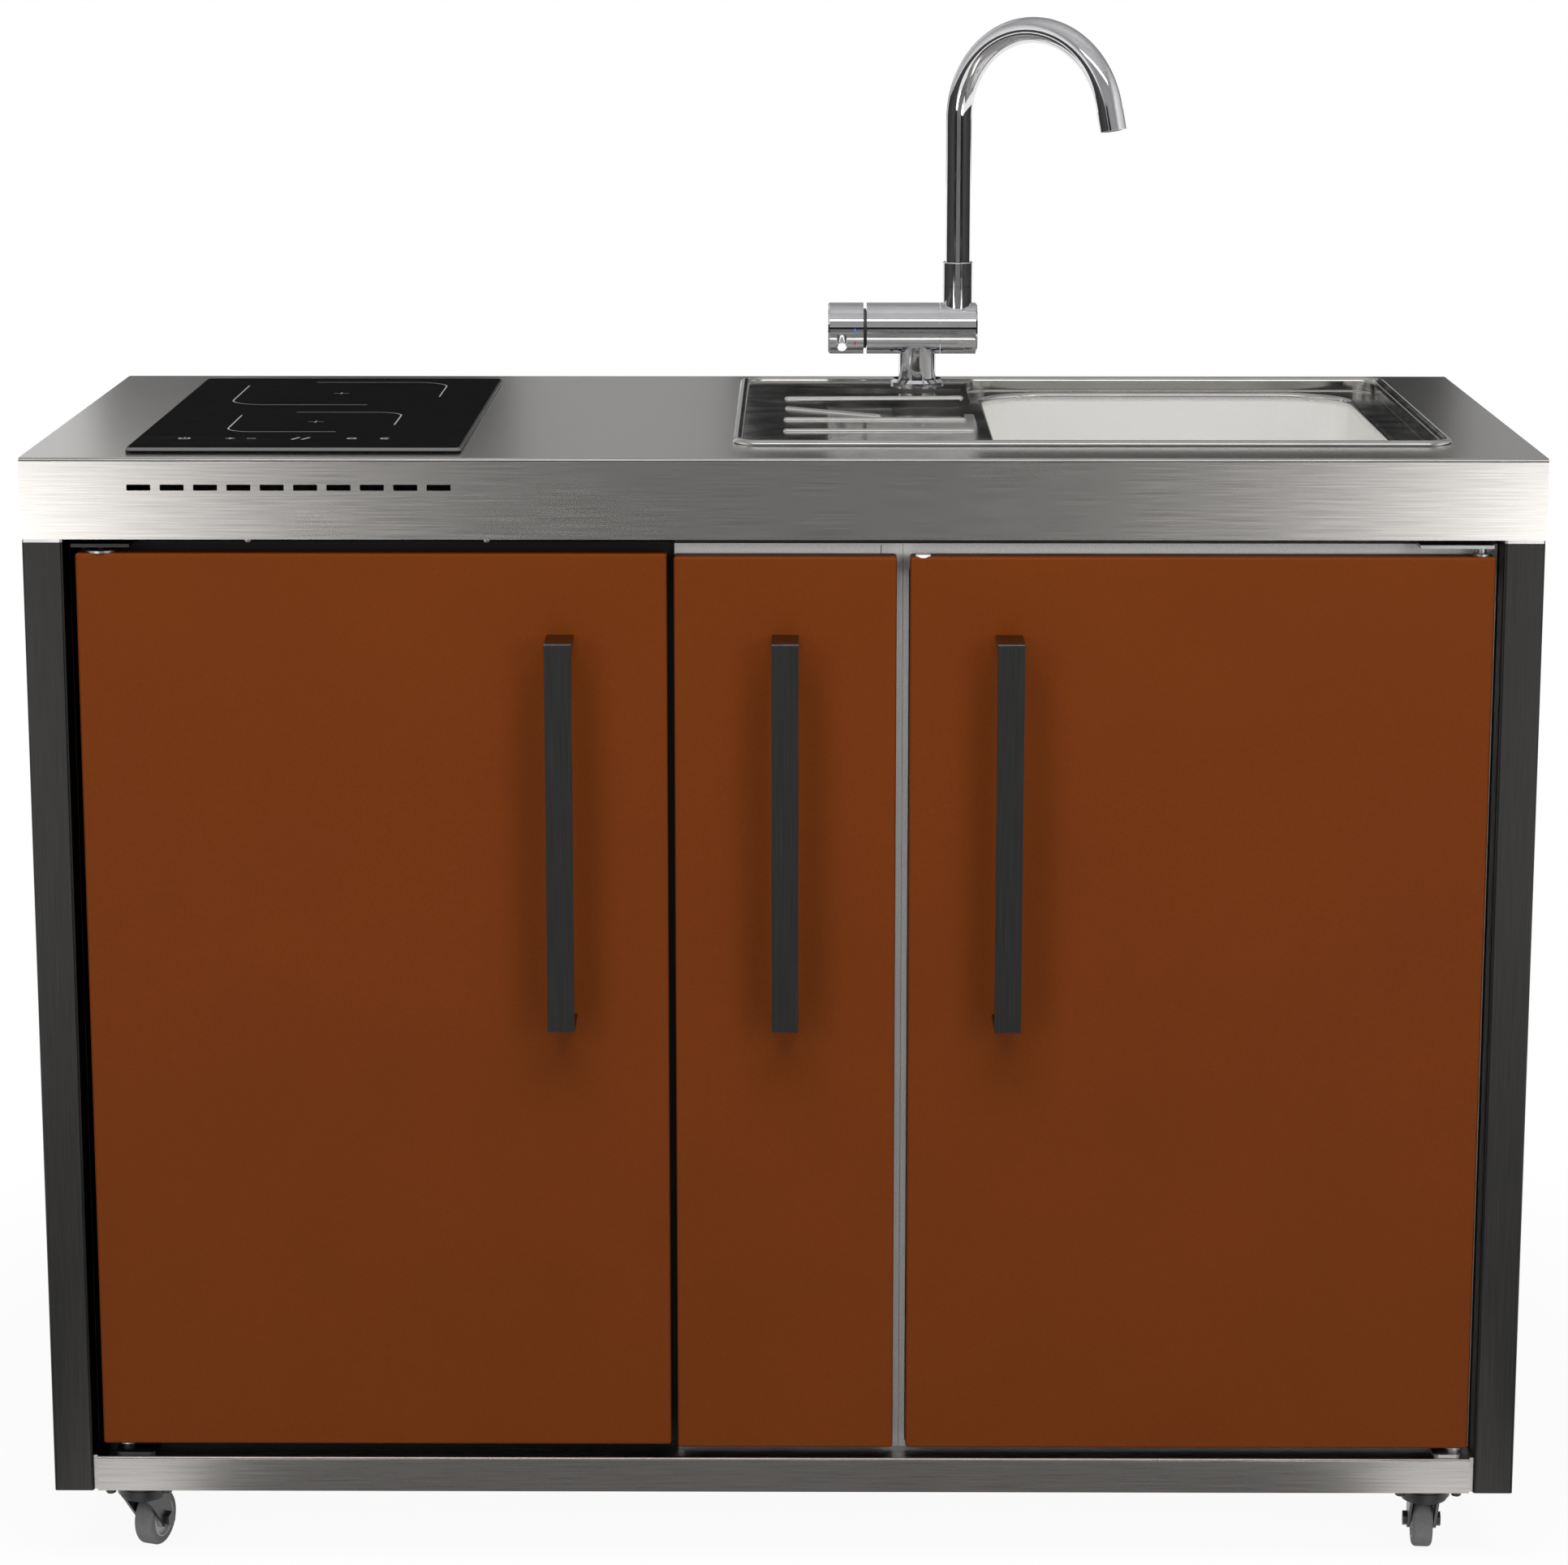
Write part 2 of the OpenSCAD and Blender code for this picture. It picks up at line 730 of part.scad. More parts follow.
module back_panel() {
    rim = 15;
    panel_h = fascia_z - tray_top;
    vent_l = 60;
    vent_step = 12;
    vent_rise = 60;
    vent_fall = 120;
    gland_z = tray_top + 60;
    color(black) {
        difference() {
            translate([-inner, back - leg_set - rim, tray_top])
                cube([2 * inner, rim, panel_h]);
            translate([sheet_t - inner, back - leg_set - rim - e, tray_top + sheet_t])
                cube([2 * (inner - sheet_t), rim - sheet_t + e, panel_h - 2 * sheet_t]);
            for (i = [-2:2], k = [0:5], low = [0, 1])
                translate([cold_cx + i * 1.3 * vent_l, back,
                        low * (panel_h - vent_rise - vent_fall) + tray_top + vent_rise
                            + vent_step * k])
                    rotate([90, 0, 0])
                        linear_extrude(rim)
                            obround(vent_l, slot_h);
            translate([waste_x, back, pipe_z])
                rotate([90, 0, 0])
                    cylinder(d = pipe_hole_d, h = rim);
            translate([cab_m_cx, back, gland_z])
                rotate([90, 0, 0])
                    cylinder(d = 20, h = rim);
        }
        translate([cab_m_cx, back - leg_set, gland_z])
            rotate([90, 0, 0])
                difference() {
                    cylinder(d = 28, h = 8);
                    translate([0, 0, -e])
                        cylinder(d = 20, h = 8 + 2 * e);
                }
    }
}

module hob_glass() {
    r = glass_r;
    color(black)
        translate([hob_cx, hob_cy, top + seal_t]) {
            sweep_round(hob_w, hob_d, r)
                polygon([[0, 0], [r, 0], [r, glass_t - glass_bevel], [r - glass_bevel, glass_t],
                    [0, glass_t]]);
            linear_extrude(glass_t)
                square([hob_w - 2 * r, hob_d - 2 * r], center = true);
        }
}

// Hollow steel box under the glass, with its sealing flange, a fan grille and side vents
module hob_box() {
    box_w = hob_w - 2 * (hob_rest + hob_cut_gap);
    box_d = hob_d - 2 * (hob_rest + hob_cut_gap);
    color([0.6, 0.6, 0.6])
        translate([hob_cx, hob_cy, top])
            difference() {
                union() {
                    plate(hob_w - 6, hob_d - 6, glass_r, seal_t);
                    translate([0, 0, -hob_box_h])
                        plate(box_w, box_d, glass_r, hob_box_h + seal_t / 2);
                }
                translate([0, 0, hob_box_t - hob_box_h])
                    plate(box_w - 2 * hob_box_t, box_d - 2 * hob_box_t, glass_r - hob_box_t,
                        hob_box_h + e);
                for (i = [-4:4])
                    translate([0, box_d / 4 + 9 * i, -hob_box_h - e])
                        linear_extrude(3 + e)
                            obround(90 - 4 * abs(i), 4.5);
                for (s = [-1, 1], i = [-6:6])
                    translate([s * box_w / 2, 14 * i, -hob_box_h / 2])
                        cube([6, 5, hob_box_h / 2], center = true);
            }
}

// Pushes the corners of an outline away from a centre
function grown(points, c, d) = [for (p = points) p + d * (p - c) / norm(p - c)];

// Half-round pressed rib between two points, with round ends
module rib(a, b) {
    d = b - a;
    translate([a[0], a[1], deck_z - sink_t / 2])
        rotate([0, 0, atan2(d[1], d[0])]) {
            rotate([90, 0, 90])
                linear_extrude(norm(d))
                    half_round(rib_r);
            for (x = [0, norm(d)])
                translate([x, 0, 0])
                    rotate_extrude()
                        intersection() {
                            half_round(rib_r - 0.02);
                            square(rib_r);
                        }
        }
}

// Place on the drainer, as shares of its width and the sink's depth
function on_drainer(u, v) = [u * drainer_w - sink_w / 2, (v - 0.5) * sink_d];

// Pressed sink: bead rim, drainer with ribs and gutter, stepped ledge and bowl
module sink() {
    t = sink_t;
    left = -sink_w / 2;
    low = -sink_d / 2;
    gutter = [on_drainer(0.248, 0.645), on_drainer(0.959, 0.666), on_drainer(0.959, 0.369),
        on_drainer(0.661, 0.369), on_drainer(0.633, 0.425)];
    mid = on_drainer(0.734, 0.519);
    spill_w = 0.162 * sink_d;
    spill_x = on_drainer(0.661, 0)[0];
    spill_y = on_drainer(0, 0.438)[1];
    spill_l = step_x - step_w / 2 - spill_x;
    color(bright)
        translate([sink_cx, sink_cy, top])
            difference() {
                union() {
                    sweep_round(sink_w, sink_d, sink_r)
                        translate([sink_r - bead_r, 0])
                            intersection() {
                                difference() {
                                    circle(bead_r);
                                    circle(bead_r - t);
                                }
                                translate([-bead_r, 0])
                                    square([2 * bead_r, bead_r]);
                            }
                    translate([0, 0, deck_z - t])
                        plate(sink_w - 2 * deck_in, sink_d - 2 * deck_in, sink_r - deck_in, t);
                    translate([step_x, 0, 0])
                        cup(step_w + 2 * t, step_d + 2 * t, step_r + t, t, -step_h - t, deck_z);
                    translate([bowl_x, bowl_y, 0]) {
                        cup(bowl_w + 2 * t, bowl_d + 2 * t, bowl_r + t, bowl_floor_r + t,
                            bowl_z - t, -step_h);
                        sweep_round(bowl_w, bowl_d, bowl_r)
                            translate([bowl_r, -step_h - lip_r])
                                square([lip_r, lip_r]);
                    }
                    translate([0, 0, deck_z - gutter_h - t])
                        linear_extrude(gutter_h + t)
                            polygon(grown(gutter, mid, 2 * t));
                    translate([spill_x - t, spill_y - t, deck_z - spill_h - t])
                        cube([spill_l + t, spill_w + 2 * t, spill_h + t]);
                    rib(on_drainer(0.216, 0.185), on_drainer(0.972, 0.191));
                    rib(on_drainer(0.216, 0.351), on_drainer(0.95, 0.349));
                    rib(on_drainer(0.22, 0.517), on_drainer(0.596, 0.398));
                    rib(on_drainer(0.216, 0.672), on_drainer(0.963, 0.685));
                    translate([0, 0, deck_z - t])
                        linear_extrude(rib_r + t - 0.5)
                            polygon([on_drainer(0.183, 0.805), on_drainer(0.972, 0.793),
                                on_drainer(0.972, 0.838), on_drainer(0.183, 0.83)]);
                }
                translate([step_x, 0, 0])
                    cup(step_w, step_d, step_r, t, -step_h, deck_z + 2 * bead_r);
                translate([bowl_x, bowl_y, 0]) {
                    cup(bowl_w, bowl_d, bowl_r, bowl_floor_r, bowl_z, 0);
                    sweep_round(bowl_w, bowl_d, bowl_r)
                        difference() {
                            translate([bowl_r - e, -step_h - lip_r])
                                square([lip_r + e, lip_r + e]);
                            translate([bowl_r + lip_r, -step_h - lip_r])
                                circle(lip_r);
                        }
                    translate([0, 0, bowl_z - 2 * t])
                        cylinder(d = drain_d, h = 3 * t);
                }
                translate([0, 0, deck_z - gutter_h])
                    linear_extrude(2 * gutter_h)
                        polygon(gutter);
                translate([spill_x, spill_y, deck_z - spill_h])
                    cube([spill_l + 2 * t, spill_w, 2 * spill_h]);
                translate([left + tap_side, -low - tap_back, -e])
                    cylinder(d = shank_d + 2, h = 2 * e + deck_z);
            }
}

// Strainer cup that rests on the bowl's floor, with its holes and a knob
module strainer() {
    cup_d = drain_d - 2;
    cup_h = 14;
    color(bright)
        translate([waste_x, waste_y, floor_z]) {
            difference() {
                union() {
                    cylinder(d1 = strainer_d, d2 = strainer_d - 4, h = 1.5);
                    translate([0, 0, -cup_h])
                        cylinder(d = cup_d, h = cup_h);
                }
                translate([0, 0, 1.5 - cup_h])
                    cylinder(d = cup_d - 3, h = cup_h);
                for (ring = [1:3], k = [0:6 * ring - 1])
                    rotate([0, 0, 60 * k / ring])
                        translate([8 * ring, 0, -cup_h - e])
                            cylinder(d = 4, h = 2 + 2 * e);
            }
            translate([0, 0, -cup_h])
                cylinder(d = 7, h = cup_h);
        }
}

// Waste body, bottle trap and outlet pipe
module waste() {
    cup_d = strainer_d + 4;
    under = floor_z - sink_t;
    cup_h = 30;
    bottle_d = 58;
    bottle_h = 110;
    pipe_l = back - leg_set - pipe_end - waste_y;
    color(white)
        translate([waste_x, waste_y, 0])
            difference() {
                union() {
                    translate([0, 0, under - 5])
                        cylinder(d = cup_d, h = 5);
                    translate([0, 0, under - cup_h])
                        cylinder(d = drain_d + 8, h = cup_h);
                    translate([0, 0, under - cup_h - 10])
                        cylinder(d1 = pipe_d + 10, d2 = drain_d + 8, h = 10);
                    translate([0, 0, pipe_z])
                        cylinder(d = pipe_d, h = under - cup_h - pipe_z);
                    translate([0, 0, pipe_z - bottle_h + 30])
                        cylinder(d = bottle_d, h = bottle_h);
                    translate([0, 0, pipe_z + 22])
                        cylinder(d = bottle_d + 8, h = 14);
                    translate([0, 0, pipe_z - bottle_h + 24])
                        cylinder(d1 = bottle_d - 14, d2 = bottle_d, h = 6.01);
                    translate([0, 0, pipe_z])
                        rotate([-90, 0, 0]) {
                            cylinder(d = pipe_d, h = pipe_l);
                            cylinder(d = pipe_d + 12, h = bottle_d / 2 + 22);
                        }
                }
                translate([0, 0, under - cup_h + 3])
                    cylinder(d = drain_d + 2, h = cup_h);
                translate([0, pipe_l - 80, pipe_z])
                    rotate([-90, 0, 0])
                        cylinder(d = pipe_d - 6, h = 81);
            }
}

module tap_body() {
    shaft_x = barrel_left - cartridge_l - 0.5;
    color(bright)
        translate([tap_x, tap_y, top])
            difference() {
                union() {
                    translate([0, 0, deck_z]) {
                        cylinder(d = flange_d, h = flange_t / 2);
                        translate([0, 0, flange_t / 2])
                            cylinder(d1 = flange_d, d2 = flange_d - flange_t, h = flange_t / 2);
                        cylinder(d = neck_d, h = barrel_z - deck_z);
                    }
                    translate([-barrel_left, 0, barrel_z]) {
                        rod_x(barrel_d, barrel_left + barrel_right);
                        rod_x(fold_d, barrel_left + barrel_right + fold_l);
                    }
                    translate([0, 0, -shank_l])
                        cylinder(d = shank_d, h = shank_l + deck_z);
                }
                translate([-barrel_left - e, 0, barrel_z])
                    rod_x(cartridge_d + 2 * run_gap, cartridge_l + 0.5 + e);
                translate([0, 0, -shank_l - e])
                    cylinder(d = supply_d, h = shank_l + e);
            }
}

// Washer and nut that clamp the tap to the drainer deck
module tap_nut() {
    color([0.8, 0.7, 0.45])
        translate([tap_x, tap_y, top + deck_z - sink_t])
            mirror([0, 0, 1])
                difference() {
                    union() {
                        cylinder(d = shank_d + 17, h = 2);
                        cylinder(d = shank_d + 13, h = 12, $fn = 6);
                    }
                    translate([0, 0, -e])
                        cylinder(d = shank_d + 0.1, h = 12 + 2 * e);
                }
}

// Direction of the pin lever in the YZ plane, turned about X
module lever_frame(x) {
    translate([tap_x + x, tap_y, top + barrel_z])
        rotate([lever_tilt, 0, 0])
            children();
}

// Valve cartridge with its stem and the pin that the handle tilts on
module tap_cartridge() {
    stem_d = 16;
    color([0.55, 0.55, 0.57]) {
        lever_frame(0) {
            translate([-barrel_left - 0.3, 0, 0])
                rod_x(cartridge_d, cartridge_l);
            translate([knob_x + 0.3, 0, 0])
                rod_x(cartridge_d + 4, ring_gap - 0.6);
            translate([tilt_x - 7, 0, 0])
                rod_x(stem_d, knob_x - tilt_x + 8);
        }
        lever_frame(tilt_x)
            cylinder(d = tilt_pin_d, h = 2 * 19, center = true);
    }
}

// Handle shell with its pin lever, hung on the tilting pin
module tap_handle() {
    end_x = knob_x - knob_l;
    edge = 1.5;
    color(bright)
        difference() {
            union() {
                lever_frame(end_x) {
                    rotate([0, 90, 0])
                        cylinder(d1 = barrel_d - 2 * edge, d2 = barrel_d, h = edge);
                    translate([edge, 0, 0])
                        rod_x(barrel_d, knob_l - edge);
                }
                lever_frame(tilt_x - 8)
                    rotate([90, 0, 0]) {
                        cylinder(d = lever_d, h = barrel_d / 2 + lever_l - 1);
                        translate([0, 0, barrel_d / 2 + lever_l - 1])
                            cylinder(d1 = lever_d, d2 = lever_d - 2, h = 1);
                    }
            }
            lever_frame(tilt_x - 10)
                rod_x(30, knob_l);
            lever_frame(tilt_x + 5)
                rod_x(barrel_d - 7, knob_l);
            lever_frame(tilt_x)
                cylinder(d = tilt_pin_d + 2 * run_gap, h = 2 * 19.5, center = true);
        }
}

// Elbow that folds on the barrel's spigot and carries the spout
module tap_elbow() {
    edge = 1.5;
    color(bright)
        translate([tap_x + barrel_right + 0.3, tap_y, top + barrel_z])
            difference() {
                union() {
                    rod_x(barrel_d, elbow_l - edge - 0.3);
                    translate([elbow_l - edge - 0.3, 0, 0])
                        rotate([0, 90, 0])
                            cylinder(d1 = barrel_d, d2 = barrel_d - 3 * edge, h = edge);
                    translate([elbow_x - barrel_right - 0.3, 0, 0]) {
                        cylinder(d = collar_d, h = collar_z - barrel_z);
                        cylinder(d = swivel_d, h = collar_z - barrel_z + 15);
                    }
                }
                translate([-e, 0, 0])
                    rod_x(fold_d + 2 * run_gap, fold_l + e);
            }
}

module ring(d, bore) {
    difference() {
        circle(d = d);
        circle(d = bore);
    }
}

// Spout tube: straight, bend, and a short straight that carries the aerator
module tap_spout() {
    bore = spout_d - 2 * spout_t;
    past = 180 - spout_bend;
    rise = spout_z - collar_z - 0.3;
    lap = 1;
    shy = 0.1;
    color(bright)
        translate([tap_x + elbow_x, tap_y, top + collar_z + 0.3])
            rotate([0, 0, -spout_turn]) {
                difference() {
                    union() {
                        cylinder(d = collar_d, h = collar_l - 1);
                        translate([0, 0, collar_l - 1])
                            cylinder(d1 = collar_d, d2 = collar_d - 2, h = 1);
                    }
                    translate([0, 0, -e])
                        cylinder(d = swivel_d + 2 * run_gap, h = collar_l + 2 * e);
                }
                translate([0, 0, collar_l - 6])
                    linear_extrude(rise + lap - collar_l + 6)
                        ring(spout_d - shy, bore + shy);
                translate([spout_r, 0, rise]) {
                    rotate([90, 0, 0])
                        rotate([0, 0, past])
                            rotate_extrude(angle = spout_bend)
                                translate([spout_r, 0])
                                    ring(spout_d, bore);
                    translate([spout_r * cos(past), 0, spout_r * sin(past)])
                        rotate([180, -past, 0]) {
                            translate([0, 0, -lap])
                                linear_extrude(4 + 2 * lap)
                                    ring(spout_d - shy, bore + shy);
                            translate([0, 0, 4])
                                linear_extrude(aerator_l)
                                    ring(aerator_d, bore - 2);
                        }
                }
            }
}

// Outer skin of the insulated case, with a front flange that holds the liner's rim
module cold_case() {
    case_w = cold_x1 - door_l_x0;
    color([0.1, 0.1, 0.1])
        translate([door_l_x0, cold_y, tray_top])
            difference() {
                cube([case_w, cold_d, cab_h]);
                translate([case_t, case_t, case_t])
                    cube([case_w - 2 * case_t, cold_d - 2 * case_t, cab_h - 2 * case_t]);
                translate([cold_cx - door_l_x0, -e, cab_h / 2])
                    stand_up()
                        plate(cavity_w, cavity_h, liner_r, case_t + 2 * e);
            }
}

// Liner with a rib on each side under every shelf
module cold_liner() {
    color(white) {
        translate([cold_cx, cold_y, tray_top + cab_h / 2])
            stand_up()
                difference() {
                    plate(cavity_w, cavity_h, liner_r, cavity_d);
                    translate([0, 0, -e])
                        plate(cavity_w - 2 * liner_t, cavity_h - 2 * liner_t, liner_r - liner_t,
                            cavity_d - liner_t + e);
                }
        for (s = [-1, 1], k = [1, 2])
            translate([cold_cx + s * (cavity_w / 2 - liner_t - 4) - 5, cold_y + shelf_front,
                    shelf_z(k) - 6])
                cube([10, shelf_d, 6]);
    }
}

function shelf_z(k) = tray_top + wall_t + bin_h + 40 + (k - 1) * 0.32 * cavity_h;

module cold_shelves() {
    w = cavity_w - 2 * liner_t - 1;
    color([0.8, 0.88, 0.86])
        for (k = [1, 2])
            translate([cold_cx, cold_y + shelf_front + shelf_d / 2, shelf_z(k)]) {
                plate(w, shelf_d, 4, shelf_t);
                translate([-w / 2 + 12, -shelf_d / 2, 0])
                    cube([w - 24, 6, shelf_t + 12]);
            }
}

module cold_bin() {
    w = cavity_w - 2 * liner_t - 14;
    d = shelf_d - 40;
    t = 2.5;
    color([0.85, 0.9, 0.9])
        translate([cold_cx, cold_y + shelf_front + d / 2, tray_top + wall_t + liner_t])
            difference() {
                cup(w, d, 15, 6, 0, bin_h);
                cup(w - 2 * t, d - 2 * t, 15 - t, 6 - t, t, bin_h + e);
            }
}

// Thermostat box under the cavity's ceiling
module thermostat() {
    ceiling = tray_top + cab_h - wall_t - liner_t;
    color(white)
        translate([cold_cx, cold_y + shelf_front + thermo_set, ceiling - thermo_h]) {
            plate(thermo_w, thermo_d, thermo_r, thermo_h);
            translate([thermo_w / 2 - dial_in, e - thermo_d / 2, thermo_h / 2])
                rotate([90, 0, 0])
                    cylinder(d = dial_d, h = dial_l + e);
        }
}

// Panel of coated sheet, folded to a pan, that hangs lower by drop
module front_panel(x0, w, drop) {
    color(copper_brown)
        translate([x0 + w / 2, door_y, door_z + door_h / 2 - drop])
            stand_up()
                pan(w, door_h, door_t, panel_t, panel_r);
}

// Door panel, with the bushes' holes in its upper and lower returns
module door_panel(x0, w, pivot, drop) {
    difference() {
        front_panel(x0, w, drop);
        translate([pivot[0], pivot[1], door_z - drop - e])
            cylinder(d = bush_d, h = door_h + 2 * e);
    }
}

// Sink cabinet's door panel, with the buffer's hole in its upper bend
module door_r() {
    difference() {
        door_panel(door_r_x0, door_r_w, pivot_r, door_drop);
        translate([buffer_x, buffer_y, buffer_z - buffer_sunk - buffer_gap])
            cylinder(d = buffer_d + 2 * buffer_gap, h = buffer_sunk + e);
        translate([buffer_x, buffer_y, buffer_z - 3 * panel_t])
            cylinder(d = buffer_in_d + 2 * buffer_gap, h = 4 * panel_t);
    }
}

// Bushes of a door: a disc on the door's edge and a bored barrel inside it
module door_bushes(pivot, top_d, drop) {
    color(bright)
        for (low = [0, 1])
            translate([pivot[0], pivot[1], (low == 1 ? door_z : door_top) - drop])
                mirror([0, 0, low])
                    difference() {
                        union() {
                            translate([0, 0, -bush_l])
                                cylinder(d = bush_d, h = bush_l);
                            cylinder(d = low == 1 ? bush_d + 6 : top_d, h = disc_t);
                        }
                        translate([0, 0, -bush_l - e])
                            cylinder(d = pin_d + 2 * run_gap, h = bush_l + disc_t + 2 * e);
                    }
}

// Hinge brackets with their pins. The upper plate is [left, width] and lies on the cabinet that
// starts at cab; the lower is [left, width] too and ends just before the cabinet.
module door_brackets(pivot, up, down, cab, drop) {
    pin_l = bush_l - 2;
    under = gap_low - drop;
    low_y = front + leg_set + bend_r;
    low_d = cab - low_y - 1;
    color(bright) {
        translate([up[0], pivot[1] - 11, cab_top])
            cube([up[1], cab + plate_up_d - pivot[1] + 11, bracket_t]);
        translate([pivot[0], pivot[1], door_top - drop - pin_l])
            cylinder(d = pin_d, h = cab_top - door_top + drop + pin_l);
        translate([down[0] + down[1] / 2, low_y + low_d / 2, tray_top])
            plate(down[1], low_d, 5, bracket_t);
        translate([pivot[0], pivot[1], tray_top]) {
            cylinder(d = pin_d, h = under + pin_l);
            cylinder(d = pin_d + 5, h = under - disc_t - bracket_gap);
        }
    }
}

// Bar handle with two returns to the door's face, rounded outside and filleted inside
module handle(x) {
    half = handle_len / 2;
    color([0.33, 0.31, 0.3])
        translate([x, door_y, door_top - handle_drop - half])
            along_x(handle_w)
                for (m = [0, 1])
                    mirror([0, m]) {
                        translate([-handle_reach, 0])
                            square([handle_t, half - handle_r]);
                        translate([-handle_reach + handle_r, half - handle_t])
                            square([handle_reach - handle_r, handle_t]);
                        translate([-handle_reach + handle_r, half - handle_r])
                            circle(handle_r);
                        translate([-handle_reach + handle_t, half - handle_t])
                            mirror([0, 1])
                                difference() {
                                    square(handle_fillet);
                                    translate([handle_fillet, handle_fillet])
                                        circle(handle_fillet);
                                }
                    }
}

// Slab that fills a folded panel between its returns, flush with its back
module door_filling(x0, w, t, drop) {
    translate([x0 + w / 2, door_back - t, door_z + door_h / 2 - drop])
        stand_up()
            plate(w - 2 * panel_t, door_h - 2 * panel_t, panel_r - panel_t, t);
}

// Inner door: a moulded sheet that closes the panel's back and a rim that enters the cavity
module door_l_inner() {
    rim_w = cavity_w - 10;
    rim_h = cavity_h - 10;
    rim_l = cold_y + 18 - door_back;
    rim_t = 10;
    color(white)
        difference() {
            union() {
                door_filling(door_l_x0, door_l_w, inner_t, 0);
                translate([cold_cx, door_back, tray_top + cab_h / 2])
                    stand_up()
                        difference() {
                            plate(rim_w, rim_h, liner_r, rim_l);
                            plate(rim_w - 2 * rim_t, rim_h - 2 * rim_t, 4, rim_l + e);
                        }
            }
            translate([pivot_l[0], pivot_l[1], door_z - e])
                cylinder(d = bush_d, h = bush_l + e);
            translate([pivot_l[0], pivot_l[1], door_top - bush_l])
                cylinder(d = bush_d, h = bush_l + e);
        }
}

// Magnetic gasket, a ring between the inner door and the case
module gasket() {
    inner_w = cavity_w - 1;
    inner_h = cavity_h + 14;
    color([0.75, 0.75, 0.75])
        translate([cold_cx, door_back, tray_top + cab_h / 2])
            stand_up()
                difference() {
                    plate(inner_w + 2 * gasket_w, inner_h + 2 * gasket_w, 6,
                        cold_front - door_set - door_t - gasket_gap);
                    translate([0, 0, -e])
                        plate(inner_w, inner_h, 4, cold_front);
                }
}

// Three open racks between the inner door's rims
module door_racks() {
    w = cavity_w - 10 - 2 * 10;
    t = 2.5;
    y1 = door_back + rack_d;
    narrow = 11;
    color([0.88, 0.92, 0.92])
        for (k = [0:2])
            translate([cold_cx, door_back, tray_top + wall_t + 25 + k * 0.32 * cavity_h])
                difference() {
                    union() {
                        translate([-w / 2, 0, 0])
                            cube([w, cold_y + 15 - door_back, 60]);
                        translate([-w / 2 + narrow, 0, 0])
                            cube([w - 2 * narrow, rack_d, 60]);
                    }
                    translate([-w / 2 + narrow + t, t, t])
                        cube([w - 2 * narrow - 2 * t, rack_d - 2 * t, 60]);
                }
}

// Folded cabinet, open at the front and at the top, with a rail along its top front edge
module cabinet(x0, x1, rail) {
    w = x1 - x0;
    color([0.86, 0.86, 0.84])
        translate([x0, cab_y, tray_top]) {
            difference() {
                cube([w, cab_d, cab_h]);
                translate([cab_t, cab_t, cab_t])
                    cube([w - 2 * cab_t, cab_d - 2 * cab_t, cab_h]);
                translate([cab_flange, -e, cab_flange])
                    cube([w - 2 * cab_flange, cab_t + 2 * e, cab_h]);
            }
            translate([0, 0, cab_h - cab_t])
                cube([w, rail, cab_t]);
            difference() {
                translate([cab_flange / 2, 0, cab_h - rail_drop])
                    cube([w - cab_flange, cab_t, rail_drop]);
                translate([w - rail_joint, -e, cab_h - rail_drop - e])
                    cube([rail_gap, cab_t + 2 * e, rail_drop - cab_t + e]);
            }
        }
}

module cabinet_r() {
    difference() {
        cabinet(cab_r_x0, cab_r_x1, 45);
        translate([waste_x, cab_y + cab_d + e, pipe_z])
            rotate([90, 0, 0])
                cylinder(d = pipe_hole_d, h = 2 * e + cab_t);
    }
}

// Back sheet that closes a door panel
module back_sheet(x0, w) {
    color([0.2, 0.2, 0.2])
        door_filling(x0, w, back_t, door_drop);
}

module door_r_back() {
    difference() {
        back_sheet(door_r_x0, door_r_w);
        translate([pivot_r[0], pivot_r[1], door_z - door_drop - e])
            cylinder(d = bush_d, h = door_h + 2 * e);
    }
}

// White buffer in the door's top edge: a head with a rounded rim, let into the bend, and a barrel
module buffer() {
    r = buffer_d / 2;
    rim = 0.5;
    color(white)
        translate([buffer_x, buffer_y, buffer_z])
            rotate_extrude() {
                translate([0, -buffer_sunk])
                    square([r, buffer_sunk + buffer_rise - rim]);
                translate([0, -buffer_sunk])
                    square([r - rim, buffer_sunk + buffer_rise]);
                translate([r - rim, buffer_rise - rim])
                    intersection() {
                        circle(rim);
                        square(rim);
                    }
                polygon([[0, -buffer_l], [buffer_in_d / 2 - 1, -buffer_l],
                    [buffer_in_d / 2, 1 - buffer_l], [buffer_in_d / 2, 0], [0, 0]]);
            }
}

// Uprights behind the pull-out's front that carry the baskets
module pull_frame() {
    bar = 16;
    low = tray_top + runner_low - 30;
    color(steel)
        for (s = [-1, 1])
            translate([cab_m_cx + s * (basket_w - bar) / 2 - bar / 2, door_back, low])
                cube([bar, basket_y - door_back, runner_step + basket_h - 10]);
}

// Sheet basket with slotted sides, hung between the runners at the given height
module basket(k) {
    z0 = tray_top + runner_low + k * runner_step - 35;
    len = runner_y + runner_l - basket_y;
    color(steel)
        translate([cab_m_cx, basket_y + len / 2, z0])
            difference() {
                cup(basket_w, len, 6, 4, 0, basket_h);
                cup(basket_w - 2 * cab_t, len - 2 * cab_t, 6 - cab_t, 4 - cab_t, cab_t,
                    basket_h + e);
                for (i = [-3:3])
                    translate([0, i * len / 8, basket_h * 0.8])
                        rotate([90, 0, 90])
                            linear_extrude(2 * basket_w, center = true)
                                obround(len / 10, 12);
            }
}

// Runs its child at the four runner places, with x pointing from the wall to the basket
module at_runners() {
    for (s = [0, 1], k = [0, 1])
        translate([s == 0 ? cab_m_x0 + cab_t : cab_m_x1 - cab_t, runner_y,
                tray_top + runner_low + k * runner_step])
            mirror([s, 0, 0])
                children();
}

